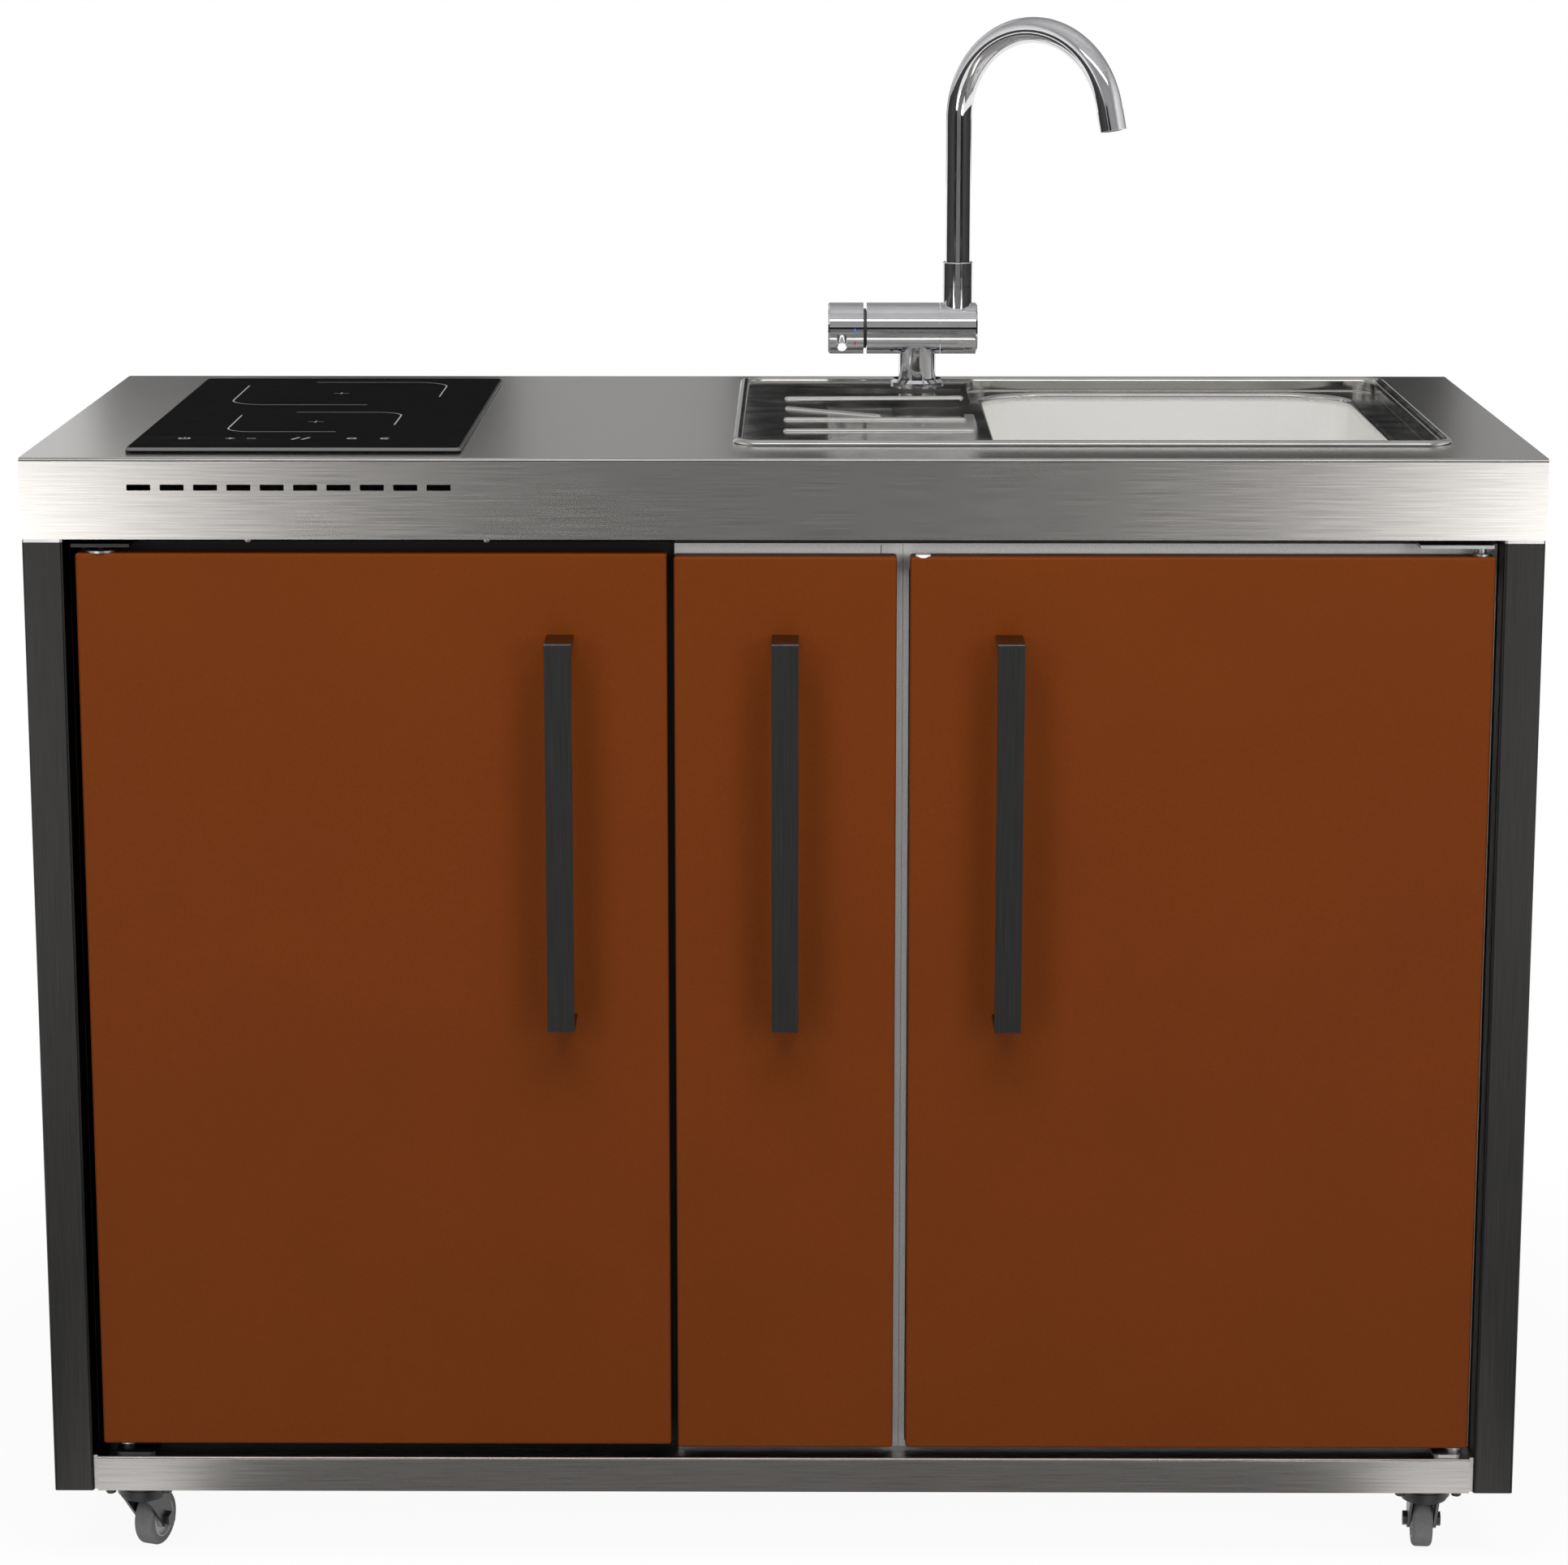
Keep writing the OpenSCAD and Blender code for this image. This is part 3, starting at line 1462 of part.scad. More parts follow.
// Section of a runner member: a channel of height h from x0 to x1 with inward lips
module runner_section(x0, x1, h, lip) {
    translate([x0, -h / 2])
        square([runner_t, h]);
    for (m = [0, 1])
        mirror([0, m]) {
            translate([x0, h / 2 - runner_t])
                square([x1 - x0, runner_t]);
            translate([x1 - runner_t, h / 2 - lip])
                square([runner_t, lip]);
        }
}

// Extrudes a section with x from the wall and y up along Y
module along_y(l) {
    translate([0, l, 0])
        rotate([90, 0, 0])
            linear_extrude(l)
                children();
}

fixed_x = rail_pad;
fixed_x1 = fixed_x + 10;
mid_x = fixed_x + runner_t + slide_gap;
mid_x1 = fixed_x1 - runner_t - slide_gap;
mid_h = runner_h - 2 * (runner_t + slide_gap);
inner_x = mid_x + runner_t + slide_gap;
inner_x1 = mid_x1 - runner_t - slide_gap;
inner_h = mid_h - 2 * (runner_t + slide_gap);
runner_lip = 5;

module runner_fixed() {
    color(steel)
        at_runners() {
            along_y(runner_l)
                runner_section(fixed_x, fixed_x1, runner_h, runner_lip);
            for (y = [20, runner_l - 60])
                translate([0, y, -runner_h / 2])
                    cube([fixed_x, 40, runner_h]);
        }
}

module runner_mid() {
    color(steel)
        at_runners()
            along_y(runner_l)
                runner_section(mid_x, mid_x1, mid_h, runner_lip);
}

module runner_inner() {
    color(steel)
        at_runners()
            along_y(runner_l) {
                translate([inner_x, -inner_h / 2])
                    square([inner_x1 - inner_x, inner_h]);
                neck_h = mid_h - 2 * runner_lip - 2 * slide_gap;
                translate([inner_x, -neck_h / 2])
                    square([rail_pad + rail_w - inner_x, neck_h]);
            }
}

function caster_x(sx) = sx * (unit_w / 2 - caster_side);
function caster_y(sy) = mid_y + sy * (unit_d / 2 - caster_in);

race_z = 64;
fork_top = race_z - 0.3;
fork_in = wheel_w / 2 + 1.5;

// Fixed halves of the casters: top plate, upper race and king pin
module caster_plates() {
    color(black)
        for (sx = [-1, 1], sy = [-1, 1])
            translate([caster_x(sx), caster_y(sy), 0]) {
                translate([0, 0, caster_h - caster_plate_t])
                    plate(caster_plate, caster_plate, 6, caster_plate_t);
                translate([0, 0, race_z])
                    cylinder(d = race_d, h = caster_h - caster_plate_t - race_z);
                translate([0, 0, wheel_d + 4])
                    cylinder(d = king_d, h = race_z - wheel_d - 4);
            }
}

// Outline of a fork's arm, x backwards and y up, from the crown to the axle
module arm_outline() {
    polygon([[-race_d / 2 + 3, fork_top - 5], [race_d / 2 - 1, fork_top - 5],
        [trail + 8, wheel_d / 2 + 2], [trail - 8, wheel_d / 2 - 3]]);
    translate([trail, wheel_d / 2])
        circle(8.5);
}

// Swivelling fork with its axle and hexagon nuts
module fork(sx, sy, turn) {
    crown_z = wheel_d + 3;
    color(black)
        translate([caster_x(sx), caster_y(sy), 0])
            rotate([0, 0, -turn]) {
                difference() {
                    union() {
                        translate([0, 0, fork_top - 6])
                            cylinder(d = race_d + 1, h = 6);
                        translate([0, 0, crown_z + 1])
                            cylinder(d = race_d - 4, h = fork_top - crown_z - 1);
                    }
                    translate([0, 0, crown_z])
                        cylinder(d = king_d + 2 * run_gap, h = fork_top);
                }
                for (s = [-1, 1])
                    translate([s * (fork_in + fork_t / 2), 0, 0])
                        along_x(fork_t)
                            arm_outline();
                translate([-fork_in - fork_t - 4, trail, wheel_d / 2])
                    rod_x(axle_d, 2 * (fork_in + fork_t + 4));
                for (s = [-1, 1])
                    translate([s * (fork_in + fork_t + 1.5) - 2.5, trail, wheel_d / 2])
                        rotate([0, 90, 0])
                            cylinder(d = axle_d + 6, h = 5, $fn = 6);
            }
}

// Section of the wheel from its bore to the tread: hub disc, hub boss and rounded tyre
module wheel_section() {
    bore_r = axle_d / 2 + run_gap;
    round_r = 4;
    translate([bore_r, -wheel_w / 2 - 1])
        square([5, wheel_w + 2]);
    translate([bore_r, -wheel_w / 2 + 3])
        square([hub_d / 2 - bore_r, wheel_w - 6]);
    translate([hub_d / 2 - 2, -wheel_w / 2])
        square([wheel_d / 2 - hub_d / 2 + 2 - round_r, wheel_w]);
    translate([hub_d / 2 - 2, -wheel_w / 2 + round_r])
        square([(wheel_d - hub_d) / 2 + 2, wheel_w - 2 * round_r]);
    for (s = [-1, 1])
        translate([wheel_d / 2 - round_r, s * (wheel_w / 2 - round_r)])
            circle(round_r);
}

module wheel(sx, sy, turn) {
    color([0.35, 0.35, 0.35])
        translate([caster_x(sx), caster_y(sy), 0])
            rotate([0, 0, -turn])
                translate([0, trail, wheel_d / 2])
                    rotate([0, 90, 0])
                        rotate_extrude()
                            wheel_section();
}

worktop();
leg_plates();
leg(-1, -1);  // leg_fl
leg(1, -1);  // leg_fr
leg(-1, 1);  // leg_bl
leg(1, 1);  // leg_br
tray();
side_panel(-1);  // side_panel_l
side_panel(1);  // side_panel_r
back_panel();
hob_glass();
hob_box();
sink();
strainer();
waste();
tap_body();
tap_nut();
tap_cartridge();
tap_handle();
tap_elbow();
tap_spout();
cold_case();
cold_liner();
cold_shelves();
cold_bin();
thermostat();
door_panel(door_l_x0, door_l_w, pivot_l, 0);  // door_l
door_l_inner();
gasket();
door_racks();
handle(door_l_x1 - handle_in_l);  // handle_l
door_bushes(pivot_l, disc_d, 0);  // bushes_l
door_brackets(pivot_l, [door_l_x0 - 3.5, plate_up_l], [door_l_x0 + 10.5, plate_low_l],  // hinge_l
        cold_y, 0);
cabinet(cab_m_x0, cab_m_x1, 30);  // cabinet_m
front_panel(door_m_x0, door_m_w, door_drop);  // front_m
back_sheet(door_m_x0, door_m_w);  // front_m_back
pull_frame();
basket(0);  // basket_low
basket(1);  // basket_high
handle((door_m_x0 + door_m_x1) / 2);  // handle_m
runner_fixed();
runner_mid();
runner_inner();
cabinet_r();
door_r();
door_r_back();
handle(door_r_x0 + handle_in_r);  // handle_r
door_bushes(pivot_r, bush_d + 4, door_drop);  // bushes_r
door_brackets(pivot_r, [door_r_x1 - 2 - plate_up_r, plate_up_r],  // hinge_r
        [door_r_x1 - 5 - plate_low_r, plate_low_r], cab_y, door_drop);
buffer();
caster_plates();
fork(-1, -1, turn_fl);  // fork_fl
fork(1, -1, turn_fr);  // fork_fr
fork(-1, 1, turn_bl);  // fork_bl
fork(1, 1, turn_br);  // fork_br
wheel(-1, -1, turn_fl);  // wheel_fl
wheel(1, -1, turn_fr);  // wheel_fr
wheel(-1, 1, turn_bl);  // wheel_bl
wheel(1, 1, turn_br);  // wheel_br
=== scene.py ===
# %% [markdown]
# # Dressing an outdoor kitchen unit
# The steel, the doors and the tap come from the CAD model as fixed solids, one object for each real
# piece. This lesson gives every one of them its finish, adds the small things that a maker fits
# last, such as screws, printed marks and trims, and sets up a studio with the photograph's camera.

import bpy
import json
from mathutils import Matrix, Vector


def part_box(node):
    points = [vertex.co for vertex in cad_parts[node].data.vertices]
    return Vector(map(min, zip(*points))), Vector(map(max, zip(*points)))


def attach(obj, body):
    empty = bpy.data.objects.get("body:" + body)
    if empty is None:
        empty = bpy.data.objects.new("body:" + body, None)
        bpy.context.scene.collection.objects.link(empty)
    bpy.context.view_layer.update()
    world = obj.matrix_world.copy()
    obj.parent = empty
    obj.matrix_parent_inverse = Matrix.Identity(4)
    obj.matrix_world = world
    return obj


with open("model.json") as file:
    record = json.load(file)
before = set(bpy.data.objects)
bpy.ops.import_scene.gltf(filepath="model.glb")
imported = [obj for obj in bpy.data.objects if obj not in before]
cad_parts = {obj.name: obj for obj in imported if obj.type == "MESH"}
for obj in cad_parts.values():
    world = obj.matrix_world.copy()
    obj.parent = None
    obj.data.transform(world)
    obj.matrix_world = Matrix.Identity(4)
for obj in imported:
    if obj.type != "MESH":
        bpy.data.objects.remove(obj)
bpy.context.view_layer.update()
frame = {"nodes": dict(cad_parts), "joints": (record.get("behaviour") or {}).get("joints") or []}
nodes = frame["nodes"]
print("solids:", len(nodes))

# %% [markdown]
# Blender's own modules come next. All lengths are in metres, in the frame of the CAD model: X runs
# to the right, Y to the back and Z up from the floor.

# %% Modules
import json
import math

import bmesh
import bpy
from mathutils import Vector

MM = 0.001
print("Blender", bpy.app.version_string)

# %% [markdown]
# ## The camera
# The photograph was taken from a little above the worktop, almost four metres away, with a long
# lens. The numbers were worked out from the picture's vanishing lines and the 600 mm depth of the
# worktop, so the render and the photograph can be laid over each other. The lens is given in pixels
# of the photograph, and Blender takes it as a focal length for a sensor of some width.

# %% Camera
EYE = Vector((0.0213, -3.8118, 1.4854))
TILT_DOWN = math.radians(11.09)
TURN = math.radians(0.33)
PHOTO_WIDE = 1932.0
PHOTO_HIGH = 1928.0
FOCAL_PX = 5166.0
CENTRE_Y_PX = 860.9
SENSOR_MM = 36.0

lens = bpy.data.cameras.new("studio_lens")
lens.sensor_fit = "HORIZONTAL"
lens.sensor_width = SENSOR_MM
lens.lens = SENSOR_MM * FOCAL_PX / PHOTO_WIDE
lens.shift_y = (CENTRE_Y_PX - PHOTO_HIGH / 2) / PHOTO_WIDE
camera = bpy.data.objects.new("studio_camera", lens)
camera.location = EYE
camera.rotation_euler = (math.radians(90) - TILT_DOWN, 0, TURN)
bpy.context.scene.collection.objects.link(camera)
bpy.context.scene.camera = camera
print("lens:", round(lens.lens, 1), "mm, shift", round(lens.shift_y, 4))

# %% [markdown]
# ## Building materials from nodes
# Every finish below is a Principled shader with a few texture nodes in front of it. The first
# helpers add a node, wire two of them together and wire one to a socket of the shader. They take a
# material or the world, because both own a tree of nodes.

# %% Node helpers
def new_finish(name, colour, metallic, roughness):
    finish = bpy.data.materials.new(name)
    finish.use_nodes = True
    shader = shader_of(finish)
    shader.inputs["Base Color"].default_value = (*colour, 1)
    shader.inputs["Metallic"].default_value = metallic
    shader.inputs["Roughness"].default_value = roughness
    return finish


def shader_of(finish):
    return finish.node_tree.nodes["Principled BSDF"]


def add(owner, kind, settings=None, **inputs):
    made = owner.node_tree.nodes.new("ShaderNode" + kind)
    for key, value in (settings or {}).items():
        setattr(made, key, value)
    for key, value in inputs.items():
        made.inputs[key.replace("_", " ")].default_value = value
    return made


def wire(owner, output, socket):
    owner.node_tree.links.new(output, socket)


def drive(finish, output, socket_name):
    wire(finish, output, shader_of(finish).inputs[socket_name])


print("node helpers ready")

# %% [markdown]
# The next helpers keep each recipe to a few lines. Noise is counted in cells to a metre of the
# object's own coordinates, so a grain has its real size on every piece. Its values lie near the
# middle of 0 to 1, so most ranges start at 0.3 and end at 0.7.

# %% Texture helpers
def where(finish):
    return add(finish, "TexCoord").outputs["Object"]


def height_of(finish):
    parts = add(finish, "SeparateXYZ")
    wire(finish, where(finish), parts.inputs["Vector"])
    return parts.outputs["Z"]


def noise(finish, cells, detail=2.0):
    """Noise with that many cells to a metre, one number for all axes or a list of three"""
    placed = add(finish, "Mapping", Scale=cells if isinstance(cells, list) else [cells] * 3)
    wire(finish, where(finish), placed.inputs["Vector"])
    texture = add(finish, "TexNoise", Scale=1.0, Detail=detail)
    wire(finish, placed.outputs["Vector"], texture.inputs["Vector"])
    return texture.outputs["Fac"]


def to_range(finish, value, low, high, source=(0.3, 0.7)):
    spread = add(finish, "MapRange", From_Min=source[0], From_Max=source[1],
                 To_Min=low, To_Max=high)
    wire(finish, value, spread.inputs["Value"])
    return spread.outputs["Result"]


print("texture helpers ready")

# %% [markdown]
# The last helpers turn such values into a look. One mixes two colours, one swings a colour a
# little darker and lighter, and one makes bump of a height in metres.

# %% Colour and relief
def mixed(finish, factor, first, second):
    blend = add(finish, "Mix", {"data_type": "RGBA"})
    wire(finish, factor, blend.inputs["Factor"])
    for socket, colour in ((blend.inputs[6], first), (blend.inputs[7], second)):
        if isinstance(colour, bpy.types.NodeSocket):
            wire(finish, colour, socket)
        else:
            socket.default_value = (*colour, 1)
    return blend.outputs[2]


def scaled(colour, factor):
    return tuple(channel * factor for channel in colour)


def swung(finish, value, colour, contrast):
    """Colour that a value moves from a darker to a lighter tone, by a share of the colour"""
    return mixed(finish, to_range(finish, value, 0, 1),
                 scaled(colour, 1 - contrast), scaled(colour, 1 + contrast))


def bumped(finish, height, depth, strength=1.0):
    relief = add(finish, "Bump", Strength=strength, Distance=depth)
    wire(finish, height, relief.inputs["Height"])
    drive(finish, relief.outputs["Normal"], "Normal")


print("colour helpers ready")

# %% [markdown]
# ## Brushed steel
# A sheet is brushed with an abrasive belt, which leaves hair-thin scratches that all run one way.
# They break a reflection up across the grain and keep it sharp along it. Three things show this:
# noise whose cells are almost seventy times longer along the grain than across it, the same noise
# as a very shallow bump, and the shader's anisotropy, turned to the grain by a fixed direction of
# the object. The legs and the handles are of a darker steel, brushed along their length.

# %% Brushed steel
HAIRS_ACROSS = 950.0
HAIRS_ALONG = 14.0
STREAKS_ACROSS = 38.0
STREAKS_ALONG = 9.0
HAIR_DEPTH = 0.003 * MM
ANISOTROPY = 0.6


def by_axis(grain, along, across):
    """A value for each of X, Y and Z: one along the grain and another on the other two"""
    values = [across] * 3
    values["XYZ".index(grain)] = along
    return values


def brushed(name, colour, grain, roughness, contrast):
    """Steel with scratches along the axis that grain names"""
    finish = new_finish(name, colour, 1.0, roughness)
    scratches = noise(finish, by_axis(grain, HAIRS_ALONG, HAIRS_ACROSS), 1.5)
    streaks = noise(finish, by_axis(grain, STREAKS_ALONG, STREAKS_ACROSS), 3.0)
    hairs = swung(finish, scratches, colour, contrast)
    streaked = to_range(finish, streaks, 0.0, 0.1, (0.2, 0.8))
    drive(finish, mixed(finish, streaked, hairs, scaled(colour, 1 - contrast)), "Base Color")
    drive(finish, to_range(finish, scratches, roughness * 0.95, roughness * 1.05), "Roughness")
    shader_of(finish).inputs["Anisotropic"].default_value = ANISOTROPY
    x, y, z = by_axis(grain, 1.0, 0.0)
    along = add(finish, "CombineXYZ", X=x, Y=y, Z=z)
    in_world = add(finish, "VectorTransform", {"vector_type": "VECTOR", "convert_from": "OBJECT",
                                               "convert_to": "WORLD"})
    wire(finish, along.outputs["Vector"], in_world.inputs["Vector"])
    drive(finish, in_world.outputs["Vector"], "Tangent")
    bumped(finish, scratches, HAIR_DEPTH, 0.05)
    return finish


STEEL = (0.56, 0.54, 0.52)
worktop_steel = brushed("worktop_steel", STEEL, "X", 0.22, 0.13)
tray_steel = brushed("tray_steel", STEEL, "X", 0.28, 0.13)
leg_steel = brushed("leg_steel", (0.054, 0.0525, 0.051), "Z", 0.36, 0.16)
handle_steel = brushed("handle_steel", (0.145, 0.143, 0.14), "Z", 0.3, 0.16)
print("brushed finishes:", 4)

# %% [markdown]
# ## Satin metals
# Zinc-plated brackets and baskets have a satin skin with soft clouds, not a grain. The clouds move
# the tone and the roughness together, and a fine noise as bump makes the skin satin. The brackets
# of the left door and the caster bolts lie in shade, and a dark copy of the zinc paints that shade
# on them.

# %% Satin metals
FINE_DEPTH = 0.02 * MM


def satin_metal(name, colour, roughness, cloud_size=0.03, contrast=0.1):
    finish = new_finish(name, colour, 1.0, roughness)
    clouds = noise(finish, 1 / cloud_size, 4.0)
    fine = noise(finish, 1500, 2.0)
    drive(finish, swung(finish, clouds, colour, contrast), "Base Color")
    drive(finish, to_range(finish, clouds, roughness * 0.8, roughness * 1.25), "Roughness")
    bumped(finish, fine, FINE_DEPTH, 0.3)
    return finish


plate_steel = satin_metal("plate_steel", (0.66, 0.66, 0.66), 0.3)
zinc = satin_metal("zinc", (0.58, 0.58, 0.57), 0.38, 0.012, 0.16)
# Painted shade: a dark copy of the zinc for parts that lie in shade.
zinc_dark = satin_metal("zinc_dark", (0.07, 0.07, 0.07), 0.45, 0.012, 0.16)
basket_steel = satin_metal("basket_steel", (0.6, 0.6, 0.6), 0.34)
nut_brass = satin_metal("nut_brass", (0.62, 0.46, 0.2), 0.3, 0.01)
strainer_steel = satin_metal("strainer_steel", (0.68, 0.68, 0.68), 0.22)
print("satin metals:", 6)

# %% [markdown]
# ## The sink
# The sink is polished on its rim, its drainer and the ledge round the bowl, and blasted inside the
# bowl. It is one pressed sheet, so one material fades between two tones and two roughness values
# by height, just below the ledge. The blasted steel scatters light in its pits almost as paint
# does, so it gets a share of plain diffuse colour.

# %% Sink finish
LEDGE_DEEP = 9.5 * MM
BOWL_DEEP = 17 * MM
BLASTED_METALLIC = 0.6


def sink_finish():
    finish = new_finish("sink_steel", (0.64, 0.63, 0.61), 1.0, 0.12)
    rim_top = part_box("worktop")[1].z
    inside = to_range(finish, height_of(finish), 1.0, 0.0,
                      (rim_top - BOWL_DEEP, rim_top - LEDGE_DEEP))
    fine = noise(finish, 1200, 2.0)
    clouds = noise(finish, 25, 3.0)
    rough = add(finish, "Mix", {"data_type": "FLOAT"})
    wire(finish, inside, rough.inputs["Factor"])
    wire(finish, to_range(finish, clouds, 0.09, 0.17), rough.inputs[2])
    wire(finish, to_range(finish, fine, 0.3, 0.42), rough.inputs[3])
    drive(finish, rough.outputs[0], "Roughness")
    bowl_tone = mixed(finish, to_range(finish, fine, 0, 1), (0.8, 0.79, 0.77), (0.88, 0.87, 0.85))
    deck_tone = mixed(finish, to_range(finish, clouds, 0, 1),
                      (0.56, 0.55, 0.53), (0.62, 0.61, 0.59))
    drive(finish, mixed(finish, inside, deck_tone, bowl_tone), "Base Color")
    drive(finish, to_range(finish, inside, 1.0, BLASTED_METALLIC, (0, 1)), "Metallic")
    bumped(finish, fine, 0.01 * MM, 0.3)
    return finish


sink_steel = sink_finish()
print("the sink turns satin", round(LEDGE_DEEP / MM, 1), "mm below the top")

# %% [markdown]
# ## Chrome
# The tap is plated, and chrome is almost a mirror. A perfect mirror looks drawn, so it gets a faint
# waviness from the casting below the plating and a few dull spots, as of dried water.

# %% Chrome
def chrome_finish():
    finish = new_finish("tap_chrome", (0.78, 0.78, 0.8), 1.0, 0.05)
    spots = noise(finish, 60, 4.0)
    waves = noise(finish, 18, 1.0)
    drive(finish, to_range(finish, spots, 0.03, 0.1, (0.4, 0.8)), "Roughness")
    tone = mixed(finish, to_range(finish, spots, 0, 1), (0.8, 0.8, 0.82), (0.72, 0.72, 0.74))
    drive(finish, tone, "Base Color")
    bumped(finish, waves, 0.2 * MM, 0.15)
    return finish


tap_chrome = chrome_finish()
print("chrome ready")

# %% [markdown]
# ## Coated sheet
# The doors are powder coated. The powder melts into a matt skin with a fine orange-peel texture
# and dark specks, and a slightly uneven colour where it lies thicker. Noise at two sizes gives
# both. The panels, the cabinets and the casters are coated the same way in other colours, and the
# hob box is a galvanised sheet, which is a satin metal.

# %% Powder coat
PEEL_DEPTH = 0.03 * MM


def powder_coat(name, colour, roughness, gloss=0.5, contrast=0.03):
    finish = new_finish(name, colour, 0.0, roughness)
    shader_of(finish).inputs["Specular IOR Level"].default_value = gloss
    orange_peel = noise(finish, 900, 3.0)
    clouds = noise(finish, 9, 3.0)
    tone = swung(finish, clouds, colour, contrast)
    specks = to_range(finish, orange_peel, 0, 0.5)
    drive(finish, mixed(finish, specks, tone, scaled(colour, 0.66)), "Base Color")
    drive(finish, to_range(finish, clouds, roughness * 0.92, roughness * 1.08), "Roughness")
    bumped(finish, orange_peel, PEEL_DEPTH, 0.5)
    return finish


door_coat = powder_coat("door_coat", (0.113, 0.0245, 0.0032), 0.5, 0.07)
dark_sheet = powder_coat("dark_sheet", (0.028, 0.028, 0.029), 0.5)
case_black = powder_coat("case_black", (0.02, 0.02, 0.02), 0.55)
cabinet_coat = powder_coat("cabinet_coat", (0.78, 0.78, 0.77), 0.45, contrast=0.008)
caster_black = powder_coat("caster_black", (0.016, 0.016, 0.017), 0.32)
hob_sheet = satin_metal("hob_sheet", (0.42, 0.43, 0.44), 0.4, 0.008, 0.2)
print("coated and galvanised sheets:", 6)

# %% [markdown]
# ## Plastics and clear pieces
# Moulded plastic has the fine texture of a spark-eroded mould. Clear plastic and the shelves' glass
# start from the same recipe and let light through.

# %% Plastics
SPARK_DEPTH = 0.02 * MM


def moulded(name, colour, roughness, contrast=0.05):
    finish = new_finish(name, colour, 0.0, roughness)
    spark = noise(finish, 1800, 2.0)
    clouds = noise(finish, 12, 3.0)
    drive(finish, swung(finish, clouds, colour, contrast), "Base Color")
    drive(finish, to_range(finish, spark, roughness * 0.85, roughness * 1.15), "Roughness")
    bumped(finish, spark, SPARK_DEPTH, 0.4)
    return finish


def clear(name, colour, roughness, transmission):
    finish = moulded(name, colour, roughness, 0.02)
    shader_of(finish).inputs["Transmission Weight"].default_value = transmission
    shader_of(finish).inputs["IOR"].default_value = 1.49
    return finish


white_plastic = moulded("white_plastic", (0.78, 0.78, 0.76), 0.4, 0.012)
cartridge_grey = moulded("cartridge_grey", (0.05, 0.05, 0.055), 0.5)
gasket_grey = moulded("gasket_grey", (0.42, 0.42, 0.42), 0.7, 0.12)
clear_plastic = clear("clear_plastic", (0.86, 0.92, 0.93), 0.12, 0.85)
shelf_glass = clear("shelf_glass", (0.82, 0.93, 0.88), 0.04, 0.95)
print("plastics and clear pieces:", 5)

# %% [markdown]
# ## Glass ceramic
# The hob's top is black and opaque. It is almost clean, with faint smears across its width and a
# little dust. Its bevel is ground, and its grey is partly that and partly a painted highlight for
# the light line that it reflects. The bevel is found by two things: its faces lean, which their
# normals show, and it lies in the upper three millimetres of the glass.

# %% Hob glass
BEVEL_LOW = 3 * MM
BEVEL_HIGH = 2 * MM


def glass_ceramic():
    finish = new_finish("glass_ceramic", (0.002, 0.002, 0.002), 0.0, 0.06)
    smears = noise(finish, [14, 40, 14], 5.0)
    dust = noise(finish, 2500, 1.0)
    drive(finish, to_range(finish, smears, 0.03, 0.07), "Roughness")
    dusty = to_range(finish, dust, 0, 1, (0.7, 0.85))
    tone = mixed(finish, dusty, (0.001, 0.001, 0.001), (0.008, 0.008, 0.009))
    facing = add(finish, "SeparateXYZ")
    wire(finish, add(finish, "TexCoord").outputs["Normal"], facing.inputs["Vector"])
    leaning = to_range(finish, facing.outputs["Z"], 1.0, 0.0, (0.6, 0.97))
    glass_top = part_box("hob_glass")[1].z
    near_top = to_range(finish, height_of(finish), 0.0, 1.0,
                        (glass_top - BEVEL_LOW, glass_top - BEVEL_HIGH))
    ground_and_highlight = add(finish, "Math", {"operation": "MULTIPLY"})
    wire(finish, leaning, ground_and_highlight.inputs[0])
    wire(finish, near_top, ground_and_highlight.inputs[1])
    # The bevel's grey is partly the ground glass's own tone and partly a painted highlight for the
    # light line of its reflection.
    drive(finish, mixed(finish, ground_and_highlight.outputs[0], tone, (0.12, 0.12, 0.118)), "Base Color")
    bumped(finish, smears, 0.04 * MM, 0.1)
    shader_of(finish).inputs["Specular IOR Level"].default_value = 0.3
    return finish


hob_glass = glass_ceramic()
print("hob glass ready")

# %% [markdown]
# ## Casters
# A wheel's hub and tyre are one solid in the CAD model. The distance from the axle tells them
# apart: the cross product of a point's offset with the axle's direction has just that length.
# Rubber is dull and scuffed, and the hub is a smoother grey plastic.

# %% Wheel finish
CASTERS = ("fl", "fr", "bl", "br")
HUB_R = 17 * MM
HUB_FADE = 0.4 * MM


def joint(name):
    return next(j for j in frame["joints"] if j["name"] == name)


